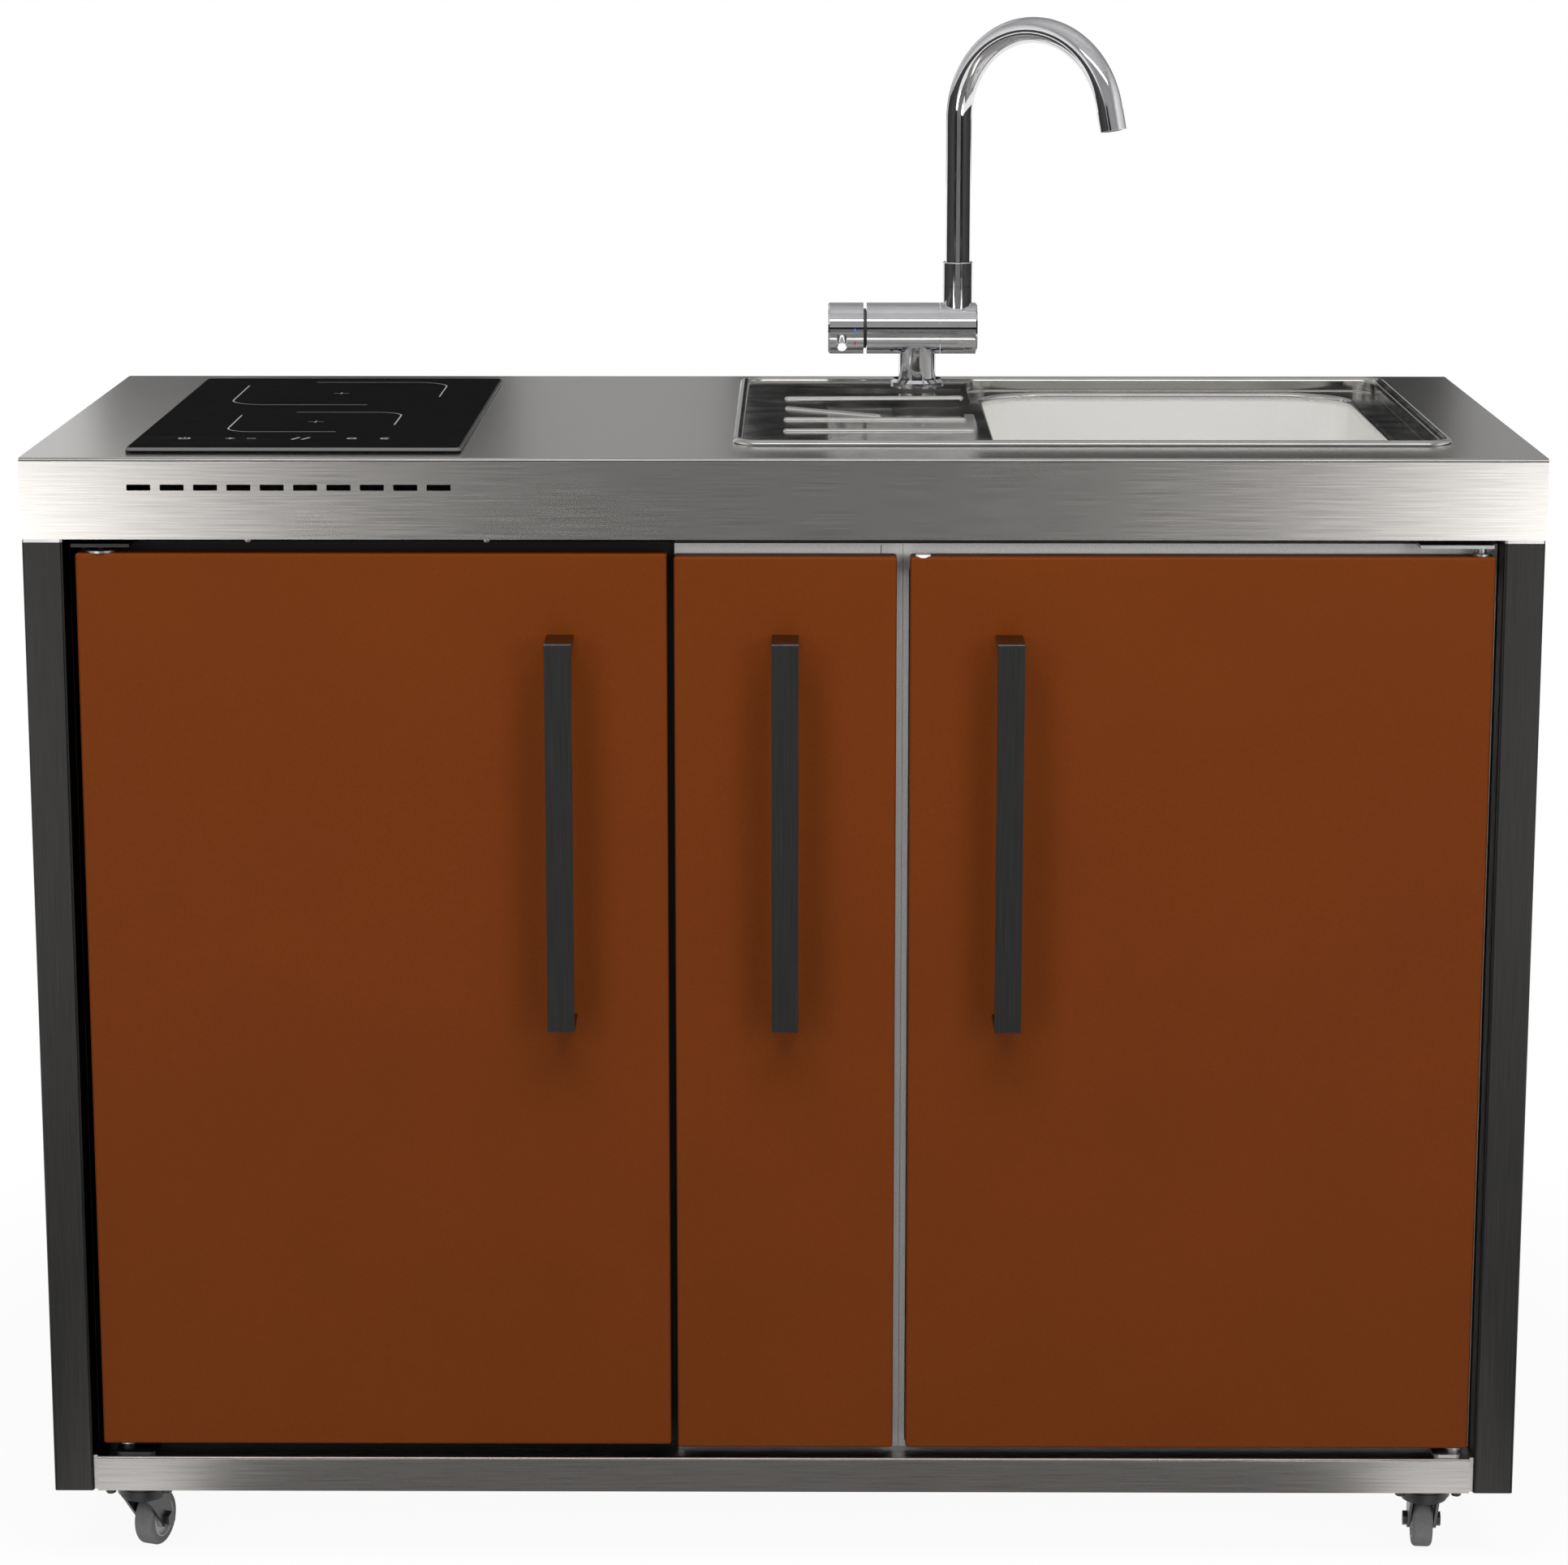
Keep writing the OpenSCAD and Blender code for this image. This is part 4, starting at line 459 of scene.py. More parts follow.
def wheel_finish(key):
    axle = joint("roll_" + key)
    finish = new_finish("wheel_" + key, (0.2, 0.2, 0.2), 0.0, 0.6)
    offset = add(finish, "VectorMath", {"operation": "SUBTRACT"})
    wire(finish, where(finish), offset.inputs[0])
    offset.inputs[1].default_value = axle["pos_m"]
    across = add(finish, "VectorMath", {"operation": "CROSS_PRODUCT"})
    wire(finish, offset.outputs[0], across.inputs[0])
    across.inputs[1].default_value = axle["axis"]
    distance = add(finish, "VectorMath", {"operation": "LENGTH"})
    wire(finish, across.outputs[0], distance.inputs[0])
    tyre = to_range(finish, distance.outputs["Value"], 0, 1, (HUB_R - HUB_FADE, HUB_R + HUB_FADE))
    scuffs = noise(finish, 300, 4.0)
    worn = to_range(finish, scuffs, 0, 1)
    rubber = mixed(finish, worn, (0.12, 0.12, 0.125), (0.145, 0.145, 0.145))
    hub = mixed(finish, worn, (0.34, 0.34, 0.34), (0.42, 0.42, 0.42))
    drive(finish, mixed(finish, tyre, hub, rubber), "Base Color")
    drive(finish, to_range(finish, tyre, 0.38, 0.75, (0, 1)), "Roughness")
    bumped(finish, scuffs, 0.1 * MM, 0.4)
    return finish


wheel_finishes = {key: wheel_finish(key) for key in CASTERS}
print("wheel finishes:", len(wheel_finishes))

# %% [markdown]
# ## Dressing the solids
# Each CAD solid keeps its shape and place and only changes its material. The table goes from the
# finish to the solids that wear it, as a maker's list of surface treatments would.

# %% Finishes by node
WEARS = [
    (worktop_steel, ["worktop"]),
    (tray_steel, ["tray"]),
    (leg_steel, ["leg_" + key for key in CASTERS]),
    (handle_steel, ["handle_l", "handle_m", "handle_r"]),
    (plate_steel, ["leg_plates"]),
    # Painted shade: the left door's brackets wear the dark copy of the zinc.
    (zinc_dark, ["hinge_l"]),
    (zinc, ["hinge_r", "bushes_l", "bushes_r", "runner_fixed", "runner_mid", "runner_inner",
            "pull_frame"]),
    (basket_steel, ["basket_low", "basket_high"]),
    (strainer_steel, ["strainer"]),
    (nut_brass, ["tap_nut"]),
    (sink_steel, ["sink"]),
    (tap_chrome, ["tap_body", "tap_handle", "tap_elbow", "tap_spout"]),
    (cartridge_grey, ["tap_cartridge"]),
    (door_coat, ["door_l", "front_m", "door_r"]),
    (dark_sheet, ["side_panel_l", "side_panel_r", "back_panel", "front_m_back", "door_r_back"]),
    (case_black, ["cold_case"]),
    (cabinet_coat, ["cabinet_m", "cabinet_r"]),
    (hob_sheet, ["hob_box"]),
    (hob_glass, ["hob_glass"]),
    (white_plastic, ["cold_liner", "door_l_inner", "thermostat", "waste", "buffer"]),
    (gasket_grey, ["gasket"]),
    (clear_plastic, ["cold_bin", "door_racks"]),
    (shelf_glass, ["cold_shelves"]),
    (caster_black, ["caster_plates"] + ["fork_" + key for key in CASTERS]),
]
WEARS += [(wheel_finishes[key], ["wheel_" + key]) for key in CASTERS]

dressed = set()
for finish, names in WEARS:
    for name in names:
        for slot in nodes[name].material_slots:
            slot.material = finish
        dressed.add(name)
print("dressed:", len(dressed), "left:", sorted(set(nodes) - dressed))

# %% [markdown]
# ## Small pieces
# The rest are pieces that a maker fits last: printed marks, screws, trims and inserts. Each is a
# mesh of its own that rides on the body that carries it, so it moves with its door or its tap. The
# first helper makes an object of a mesh, smooths it between its sharp edges and says which body it
# rides on. The second turns an outline about an axis, as a lathe does. A radius may also change
# with the angle, which gives hexagons and screw recesses.

# %% Piece helpers
SHARP_DEGREES = 35


def finished(name, mesh_data, finish, body):
    """Object from mesh code, in its place, that rides on a body and takes its colour from a slot"""
    mesh = bpy.data.meshes.new(name)
    bmesh.ops.recalc_face_normals(mesh_data, faces=mesh_data.faces)
    mesh_data.to_mesh(mesh)
    mesh_data.free()
    mesh.materials.append(finish)
    for face in mesh.polygons:
        face.use_smooth = True
    mesh.set_sharp_from_angle(angle=math.radians(SHARP_DEGREES))
    piece = bpy.data.objects.new(name, mesh)
    bpy.context.scene.collection.objects.link(piece)
    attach(piece, body)
    return piece


def turned(mesh_data, outline, place, axis, sides=24):
    """Turns (radius, height) pairs about an axis through a place"""
    turn = Vector((0, 0, 1)).rotation_difference(Vector(axis)).to_matrix()
    rings = []
    for radius, height in outline:
        ring = []
        for k in range(sides):
            angle = 2 * math.pi * k / sides
            r = radius(angle) if callable(radius) else radius
            point = turn @ Vector((r * math.cos(angle), r * math.sin(angle), height))
            ring.append(mesh_data.verts.new(Vector(place) + point))
        rings.append(ring)
    for low, high in zip(rings, rings[1:]):
        for k in range(sides):
            mesh_data.faces.new((low[k], low[k - 1], high[k - 1], high[k]))
    mesh_data.faces.new(rings[0])
    mesh_data.faces.new(rings[-1][::-1])


print("piece helpers ready")

# %% [markdown]
# ## Marks on the hob
# The two cooking zones are screen-printed on the glass in grey enamel, and a row of touch marks
# lies near the front edge. The print is far thinner than a hair, so it is modelled as flat lines
# that float 0.05 mm over the glass. A line that crosses another lies a little higher, so that the
# two don't share a plane.

# %% Printed lines
PRINT_LIFT = 0.05 * MM
CROSSING_LIFT = 0.01 * MM
print_grey = new_finish("print_grey", (0.26, 0.26, 0.265), 0.0, 0.45)
enamel = noise(print_grey, 1500, 2.0)
print_tone = mixed(print_grey, to_range(print_grey, enamel, 0, 1),
                   (0.22, 0.22, 0.225), (0.31, 0.31, 0.315))
drive(print_grey, print_tone, "Base Color")
drive(print_grey, to_range(print_grey, enamel, 0.38, 0.52), "Roughness")
bumped(print_grey, enamel, 0.01 * MM, 0.3)


def printed_line(mesh_data, path, width, height):
    """Flat line of that width along points (x, y), at one height"""
    last = len(path) - 1
    sides = []
    for k, (x, y) in enumerate(path):
        before, after = path[max(k - 1, 0)], path[min(k + 1, last)]
        along = Vector((after[0] - before[0], after[1] - before[1])).normalized()
        across = Vector((-along.y, along.x)) * width / 2
        sides.append([mesh_data.verts.new((x + side * across.x, y + side * across.y, height))
                      for side in (-1, 1)])
    for a, b in zip(sides, sides[1:]):
        mesh_data.faces.new((a[0], a[1], b[1], b[0]))


def arc(centre, radius, start, stop, steps=12):
    """Points of an arc between two angles in degrees"""
    angles = [math.radians(start + (stop - start) * k / steps) for k in range(steps + 1)]
    return [(centre[0] + radius * math.cos(a), centre[1] + radius * math.sin(a)) for a in angles]


hob_low, hob_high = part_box("hob_glass")
hob_middle = (hob_low + hob_high) / 2
print_z = hob_high.z + PRINT_LIFT
print("printed", round(print_z - hob_high.z, 6), "m over the glass")

# %% [markdown]
# Only two opposite corners of each zone are drawn. The near line comes down its left side and runs
# past the middle of its front, and the far line does the same from the back to the right. A small
# cross marks the middle.

# %% Zone marks
ZONE_LINE = 1.3 * MM
CROSS_LINE = 0.8 * MM
CROSS_ARM = 7 * MM
LEFT_START = 0.68
RIGHT_END = 0.3
PAST_MIDDLE = 0.35
# Each zone: its place behind the glass's middle, its width, its depth and its corner radius
ZONES = [(0.133, 0.19, 0.176, 0.034), (-0.0785, 0.145, 0.137, 0.024)]

zones = bmesh.new()
for shift, width, depth, radius in ZONES:
    cx, cy = hob_middle.x, hob_middle.y + shift
    x, y = width / 2, depth / 2
    near_corner = arc((cx - x + radius, cy - y + radius), radius, 180, 270)
    far_corner = arc((cx + x - radius, cy + y - radius), radius, 90, 0)
    near = [(cx - x, cy + LEFT_START * y)] + near_corner + [(cx + PAST_MIDDLE * x, cy - y)]
    far = [(cx - PAST_MIDDLE * x, cy + y)] + far_corner + [(cx + x, cy - RIGHT_END * y)]
    printed_line(zones, near, ZONE_LINE, print_z)
    printed_line(zones, far, ZONE_LINE, print_z)
    printed_line(zones, [(cx - CROSS_ARM, cy), (cx + CROSS_ARM, cy)], CROSS_LINE, print_z)
    printed_line(zones, [(cx, cy - CROSS_ARM), (cx, cy + CROSS_ARM)], CROSS_LINE,
                 print_z + CROSSING_LIFT)
finished("hob_zone_marks", zones, print_grey, "frame")
print("zones:", len(ZONES))

# %% [markdown]
# The touch marks are plain signs: a broken ring with a bar for the power, a plus and a minus, two
# slanted bars, a ring for the lock and a clock. Each is written as points in millimetres from the
# middle of the row.

# %% Touch marks
KEYS_Y = hob_middle.y - 192 * MM
KEY_LINE = 2.0 * MM
BAR_LINE = 2.6 * MM
keys = bmesh.new()


def key_line(points, width=KEY_LINE, lift=0.0):
    placed = [(hob_middle.x + x * MM, KEYS_Y + y * MM) for x, y in points]
    printed_line(keys, placed, width, print_z + lift)


def key_ring(x, radius, start=0, stop=360):
    key_line(arc((x, 0), radius, start, stop, 24))


key_ring(-101.5, 4.5, 125, 415)
key_line([(-101.5, 1.2), (-101.5, 6)], lift=CROSSING_LIFT)
key_line([(-65.5, 0), (-57.5, 0)])
key_line([(-61.5, -4), (-61.5, 4)], lift=CROSSING_LIFT)
key_line([(-47, 0), (-39, 0)])
for x in (-7, 2):
    key_line([(x, -7), (x + 5, 7)], BAR_LINE)
key_ring(44.5, 3.5)
key_line([(74.5, -4.5), (74.5, 0.5)])
key_ring(74.5, 4.5, 60, 300)
finished("hob_touch_marks", keys, print_grey, "frame")
print("touch marks at y", round(KEYS_Y, 4))

# %% [markdown]
# ## Marks on the tap
# A blue dash and a red dash on the handle show cold and warm. They are enamel let into the chrome,
# so each is a small curved patch, a tenth of a millimetre proud, that rides on the handle's body.
# Its edge dips just below the chrome, so that no gap shows.

# %% Tap marks
BARREL_R = 24.75 * MM
MARK_X = 66.5 * MM
MARK_WIDE = 1.6 * MM
MARK_TALL = 4.6 * MM
MARK_STEPS = 6
MARK_PROUD = 0.1
MARK_SUNK = -0.05
COLD_ANGLE = 0
WARM_ANGLE = -29
tap_axis = joint("tap_temperature")["pos_m"]


def enamel_finish(name, colour):
    finish = new_finish(name, colour, 0.0, 0.3)
    flow = noise(finish, 600, 2.0)
    drive(finish, swung(finish, flow, colour, 0.15), "Base Color")
    drive(finish, to_range(finish, flow, 0.22, 0.38), "Roughness")
    bumped(finish, flow, 0.02 * MM, 0.2)
    return finish


def tap_mark(name, angle, finish):
    """Curved patch on the handle's barrel, angle in degrees above the front"""
    patch = bmesh.new()
    half = math.degrees(MARK_TALL / BARREL_R) / 2
    rows = []
    for k in range(MARK_STEPS + 1):
        turn = math.radians(angle - half + 2 * half * k / MARK_STEPS)
        row = []
        for side, lift in ((-1, MARK_SUNK), (-0.8, MARK_PROUD), (0.8, MARK_PROUD), (1, MARK_SUNK)):
            r = BARREL_R + (lift if 0 < k < MARK_STEPS else MARK_SUNK) * MM
            row.append(patch.verts.new((MARK_X + side * MARK_WIDE / 2,
                                        tap_axis[1] - r * math.cos(turn),
                                        tap_axis[2] + r * math.sin(turn))))
        rows.append(row)
    for low, high in zip(rows, rows[1:]):
        for k in range(3):
            patch.faces.new((low[k], low[k + 1], high[k + 1], high[k]))
    return finished(name, patch, finish, "lever")


tap_mark("tap_mark_cold", COLD_ANGLE, enamel_finish("enamel_blue", (0.01, 0.14, 0.6)))
tap_mark("tap_mark_warm", WARM_ANGLE, enamel_finish("enamel_red", (0.62, 0.02, 0.01)))
print("tap marks at radius", BARREL_R)

# %% [markdown]
# ## Aerator
# A plastic insert with a fine grid sits in the spout's end and mixes air into the water. The spout
# was bent in a plane that is turned about the upright tube, so the end's place and direction follow
# from the bend's radius, its angle and that turn.

# %% Spout's end
SPOUT_TOP = 1.257
BEND_R = 86.9 * MM
BEND = math.radians(168)
SPOUT_TURN = math.radians(-37.5)
END_L = 23 * MM
spout_axis = joint("spout_swivel")["pos_m"]
reach = Vector((math.cos(SPOUT_TURN), math.sin(SPOUT_TURN), 0))
bend_middle = Vector((spout_axis[0], spout_axis[1], SPOUT_TOP)) + BEND_R * reach
bend_end = bend_middle - BEND_R * math.cos(BEND) * reach + Vector((0, 0, BEND_R * math.sin(BEND)))
flow_down = (math.sin(BEND) * reach + math.cos(BEND) * Vector((0, 0, 1))).normalized()
spout_mouth = bend_end + END_L * flow_down
print("spout mouth:", [round(v, 4) for v in spout_mouth])

# %% [markdown]
# The insert is a turned ring with a floor a little inside it. On the floor stand two sets of thin
# bars that cross. Each bar is as long as the ring is wide at its place, by the circle's equation.

# %% Aerator insert
GRID_R = 7.6
GRID_STEP = 1.6
GRID_BARS = 4
BAR_HALF = 0.25
FLOOR_DROP = -2.4
BAR_TOP = -1.5
BAR_FACES = ((4, 5, 7, 6), (0, 1, 5, 4), (2, 3, 7, 6), (0, 2, 6, 4), (1, 3, 7, 5))

insert = bmesh.new()
turned(insert, [(9 * MM, -8 * MM), (9 * MM, -1.2 * MM), (8.4 * MM, -0.8 * MM),
                (GRID_R * MM, -0.9 * MM), (GRID_R * MM, FLOOR_DROP * MM)],
       spout_mouth, flow_down, 40)
aside = Vector((-reach.y, reach.x, 0))
ahead = flow_down.cross(aside)
for k in range(-GRID_BARS, GRID_BARS + 1):
    for along, over in ((aside, ahead), (ahead, aside)):
        half = math.sqrt(GRID_R ** 2 - (GRID_STEP * k) ** 2) * MM
        centre = spout_mouth + GRID_STEP * k * MM * over
        corners = []
        for drop in (FLOOR_DROP, BAR_TOP):
            for side in (-1, 1):
                for wide in (-BAR_HALF, BAR_HALF):
                    point = centre + side * half * along + wide * MM * over + drop * MM * flow_down
                    corners.append(insert.verts.new(point))
        for face in BAR_FACES:
            insert.faces.new([corners[n] for n in face])
insert_grey = moulded("insert_grey", (0.12, 0.12, 0.125), 0.4)
finished("aerator_insert", insert, insert_grey, "spout")
print("aerator bars:", 2 * (2 * GRID_BARS + 1))

# %% [markdown]
# ## Screws
# Two screws under the fascia show in the gap over the left door, and two hold each hinge plate.
# The bodies of screws lie hidden in the sheet, so only the heads are made: a turned pan whose last
# two rings follow the outline of a cross, which sinks the recess.

# %% Pan-head screws
def cross_recess(long, short):
    """Radius of a cross-shaped recess: long on four arms, short between them"""
    return lambda angle: long if math.cos(4 * angle) > 0.5 else short


def pan_screw(mesh_data, place, axis, head, height=2.2 * MM):
    """Pan-head screw with a cross recess"""
    r = head / 2
    recess = cross_recess(0.55 * r, 0.2 * r)
    turned(mesh_data, [(r, -0.2 * MM), (r, 0.45 * height), (0.86 * r, 0.8 * height),
                       (0.66 * r, height), (recess, height), (recess, 0.4 * height)],
           place, axis, 32)


FASCIA_SCREWS_X = (-0.457, -0.253)
fascia_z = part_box("leg_plates")[1].z
worktop_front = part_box("worktop")[0].y
screws = bmesh.new()
for x in FASCIA_SCREWS_X:
    pan_screw(screws, (x, worktop_front + 6 * MM, fascia_z), (0, 0, -1), 6.5 * MM, 3 * MM)
finished("fascia_screws", screws, zinc, "frame")

PLATE_T = 3 * MM
PLATE_SCREWS = (-9 * MM, 12 * MM)
SCREW_BACK = 42 * MM
plate_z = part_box("cabinet_r")[1].z + PLATE_T
screws = bmesh.new()
for pivot, away in (("cold_door_hinge", 1), ("sink_door_hinge", -1)):
    x, y = joint(pivot)["pos_m"][:2]
    for shift in PLATE_SCREWS:
        pan_screw(screws, (x + away * shift, y + SCREW_BACK, plate_z), (0, 0, 1), 7 * MM)
finished("hinge_plate_screws", screws, zinc, "frame")
print("screws:", len(FASCIA_SCREWS_X) + 2 * len(PLATE_SCREWS))

# %% [markdown]
# ## Handle fixings
# A bar handle is held by two screws through the door. Their heads show on the inner side of the
# pull-out's front and of the right door. In the cold cabinet's smooth inner door, white plastic
# caps cover them.

# %% Handle fixings
HANDLE_EDGE = 2.5 * MM
CAP = [(6 * MM, -0.2 * MM), (6 * MM, 0.8 * MM), (5.2 * MM, 1.7 * MM), (3 * MM, 2.2 * MM)]
inner_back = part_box("front_m_back")[1].y


def fixing_places(handle):
    """Where the screws of a handle come through the back of its front"""
    low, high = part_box(handle)
    return [((low.x + high.x) / 2, inner_back, z)
            for z in (low.z + HANDLE_EDGE, high.z - HANDLE_EDGE)]


caps = bmesh.new()
for place in fixing_places("handle_l"):
    turned(caps, CAP, place, (0, 1, 0), 32)
finished("handle_caps_l", caps, white_plastic, "cold_door")

for side, body in (("m", "pull_out"), ("r", "sink_door")):
    heads = bmesh.new()
    for place in fixing_places("handle_" + side):
        pan_screw(heads, place, (0, 1, 0), 9 * MM, 2.6 * MM)
    finished("handle_screws_" + side, heads, zinc, body)
print("inner side of the fronts at y", round(inner_back, 4))

# %% [markdown]
# ## Caster bolts
# Four hexagon bolts hold each caster's plate. A hexagon is a circle whose radius changes with the
# angle, so the head is turned like the screws. It has a washer under it and a chamfer on its end.

# %% Caster bolts
CASTER_PLATE_T = 2.5 * MM
BOLT_IN = 25 * MM
WASHER_T = 1.2 * MM


def hexagon(across):
    """Radius of a hexagon with that width across its flats, at an angle"""
    sector = math.pi / 3
    return lambda angle: across / 2 / math.cos((angle + sector / 2) % sector - sector / 2)


def hex_bolt(mesh_data, place, axis, across, height):
    """Hexagon bolt head on a washer"""
    turned(mesh_data, [(0.62 * across, 0), (0.62 * across, WASHER_T),
                       (0.56 * across, WASHER_T + 0.05 * MM)], place, axis, 36)
    turned(mesh_data, [(hexagon(across), WASHER_T), (hexagon(across), 0.85 * height + WASHER_T),
                       (0.46 * across, height + WASHER_T)], place, axis, 36)


bolt_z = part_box("caster_plates")[1].z - CASTER_PLATE_T
bolts = bmesh.new()
for key in CASTERS:
    x, y = joint("swivel_" + key)["pos_m"][:2]
    for side in (-1, 1):
        for end in (-1, 1):
            place = (x + side * BOLT_IN, y + end * BOLT_IN, bolt_z)
            hex_bolt(bolts, place, (0, 0, -1), 8 * MM, 3.2 * MM)
# Painted shade: the bolts wear the dark copy of the zinc, for the shade under the plates.
finished("caster_bolts", bolts, zinc_dark, "frame")
print("caster bolts:", 4 * len(CASTERS))

# %% [markdown]
# ## Rivets
# Blind rivets hold the back panel and the side panels, in a row along each upright edge. A blind
# rivet has a low domed flange and a hole where its mandrel broke off, so its outline turns down
# into the middle again.

# %% Panel rivets
RIVET = [(3.2 * MM, 0), (3.2 * MM, 0.25 * MM), (2.6 * MM, 0.8 * MM),
         (1.5 * MM, 1.1 * MM), (1.2 * MM, 1.1 * MM), (1.1 * MM, 0.5 * MM)]
RIVETS_HIGH = 5
END_GAP = 0.04
EDGE_GAP = 12 * MM


def rivet_heights(low, high):
    span = high.z - low.z - 2 * END_GAP
    return [low.z + END_GAP + span * k / (RIVETS_HIGH - 1) for k in range(RIVETS_HIGH)]


rivets = bmesh.new()
low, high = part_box("back_panel")
for z in rivet_heights(low, high):
    for x in (low.x + EDGE_GAP, high.x - EDGE_GAP):
        turned(rivets, RIVET, (x, high.y, z), (0, 1, 0), 20)
for side, node in ((-1, "side_panel_l"), (1, "side_panel_r")):
    low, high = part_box(node)
    face = low.x if side < 0 else high.x
    for z in rivet_heights(low, high):
        for y in (low.y + EDGE_GAP, high.y - EDGE_GAP):
            turned(rivets, RIVET, (face, y, z), (side, 0, 0), 20)
finished("panel_rivets", rivets, dark_sheet, "frame")
print("rivets:", 3 * 2 * RIVETS_HIGH)

# %% [markdown]
# ## Inside the cold cabinet
# Each glass shelf has a white strip clipped over its front edge. The strip is one section, an
# outer line and an inner line round the glass, drawn along the shelf. It shows only when the door
# is open.

# %% Shelf strips
SHELF_LIP = 17 * MM
LIP_DEEP = 6 * MM
SKIN = 0.8 * MM
FIT = 0.02 * MM
STRIP_END = 11 * MM
hem = SHELF_LIP - 4 * SKIN
OUTER = [(-SKIN, -SKIN), (-SKIN, SHELF_LIP + SKIN), (0.4 * LIP_DEEP, SHELF_LIP + 1.6 * SKIN),
         (LIP_DEEP + SKIN, SHELF_LIP + SKIN), (LIP_DEEP + SKIN, hem)]
INNER = [(LIP_DEEP + FIT, hem), (LIP_DEEP + FIT, SHELF_LIP + FIT), (-FIT, SHELF_LIP + FIT),
         (-FIT, -SKIN)]
section = OUTER + INNER

low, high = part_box("cold_shelves")
strips = bmesh.new()
for z in (low.z, high.z - SHELF_LIP):
    left, right = [[strips.verts.new((x, low.y + u, z + v)) for u, v in section]
                   for x in (low.x + STRIP_END, high.x - STRIP_END)]
    for k in range(len(section)):
        strips.faces.new((left[k], left[k - 1], right[k - 1], right[k]))
    strips.faces.new(left)
    strips.faces.new(right[::-1])
finished("shelf_strips", strips, white_plastic, "frame")
print("points of a strip's section:", len(section))

# %% [markdown]
# The thermostat's knob has a dark disc with a raised pointer. The disc is turned, and the pointer
# is a slightly tapered bar on it.

# %% Thermostat pointer
DIAL_SIDE = 0.03
DIAL_DOWN = 0.015
DISC = [(9 * MM, -0.1 * MM), (9 * MM, 0.3 * MM), (8.4 * MM, 0.6 * MM)]
BAR = [(-0.7 * MM, 1 * MM), (0.7 * MM, 1 * MM), (0.5 * MM, 8 * MM), (-0.5 * MM, 8 * MM)]

low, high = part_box("thermostat")
dial = Vector(((low.x + high.x) / 2 + DIAL_SIDE, low.y, high.z - DIAL_DOWN))
pointer = bmesh.new()
turned(pointer, DISC, dial, (0, -1, 0), 40)
foot, top = [[pointer.verts.new(dial + Vector((u, -lift, v))) for u, v in BAR]
             for lift in (0.4 * MM, 1.3 * MM)]
for k in range(len(BAR)):
    pointer.faces.new((foot[k], foot[k - 1], top[k - 1], top[k]))
pointer.faces.new(top)
finished("thermostat_pointer", pointer, cartridge_grey, "frame")
print("dial at", [round(v, 4) for v in dial])

# %% [markdown]
# ## The floor
# The floor is a very wide sheet. To the camera, in gloss and through glass it is white, and for all
# other rays it is a pale grey that gives the object its bounce light. Near the object a small share
# of the grey stays in view, and with it the shadow. The helper that tells the rays apart serves
# the world as well.

# %% Floor
NEAR_SHARE = 0.93
SHARE_FROM = 0.7
SHARE_TO = 1.3
FLOOR_HALF = 200


def shown_white(owner):
    """1 for rays from the camera, in gloss and through glass, 0 for all others"""
    path = add(owner, "LightPath")
    seen = path.outputs["Is Camera Ray"]
    for ray in ("Is Glossy Ray", "Is Transmission Ray"):
        either = add(owner, "Math", {"operation": "MAXIMUM"})
        wire(owner, seen, either.inputs[0])
        wire(owner, path.outputs[ray], either.inputs[1])
        seen = either.outputs[0]
    return seen


def floor_finish():
    finish = new_finish("floor_white", (0.66, 0.66, 0.66), 0.0, 0.9)
    away = add(finish, "VectorMath", {"operation": "LENGTH"})
    wire(finish, where(finish), away.inputs[0])
    share = to_range(finish, away.outputs["Value"], NEAR_SHARE, 1.0, (SHARE_FROM, SHARE_TO))
    weight = add(finish, "Math", {"operation": "MULTIPLY"})
    wire(finish, shown_white(finish), weight.inputs[0])
    wire(finish, share, weight.inputs[1])
    glow = add(finish, "Emission", Color=(1, 1, 1, 1), Strength=1.0)
    blend = add(finish, "MixShader")
    wire(finish, weight.outputs[0], blend.inputs[0])
    wire(finish, shader_of(finish).outputs[0], blend.inputs[1])
    wire(finish, glow.outputs[0], blend.inputs[2])
    surface = finish.node_tree.nodes["Material Output"].inputs["Surface"]
    wire(finish, blend.outputs[0], surface)
    return finish


def stage_sheet(name, corners, finish):
    """Flat sheet through four corners, as part of the stage"""
    mesh = bpy.data.meshes.new(name)
    mesh.from_pydata(corners, [], [(0, 1, 2, 3)])
    mesh.materials.append(finish)
    sheet = bpy.data.objects.new(name, mesh)
    bpy.context.scene.collection.objects.link(sheet)
    return sheet


stage_sheet("studio_floor", [(-FLOOR_HALF, -FLOOR_HALF, 0), (FLOOR_HALF, -FLOOR_HALF, 0),
                             (FLOOR_HALF, FLOOR_HALF, 0), (-FLOOR_HALF, FLOOR_HALF, 0)],
            floor_finish())
print("floor ready")

# %% [markdown]
# ## Cards
# Brushed steel shows what stands round it more than its own colour. A photographer places black,
# grey and white cards for that, and so does this scene. Only glossy surfaces see them: the camera
# doesn't, and they take no light off the object.

# %% Card helpers
def card_finish(name, tone, glow=0.0):
    finish = new_finish(name, (tone, tone, tone), 0.0, 0.9)
    shader_of(finish).inputs["Emission Color"].default_value = (1, 1, 1, 1)
    shader_of(finish).inputs["Emission Strength"].default_value = glow
    return finish


def card(name, corners, finish):
    """Sheet that only glossy surfaces see"""
    sheet = stage_sheet(name, corners, finish)
    sheet.visible_camera = False
    sheet.visible_shadow = False
    sheet.visible_diffuse = False
    return sheet


def upright(x0, x1, y, z0, z1):
    """Corners of a sheet that stands across the room"""
    return [(x0, y, z0), (x1, y, z0), (x1, y, z1), (x0, y, z1)]


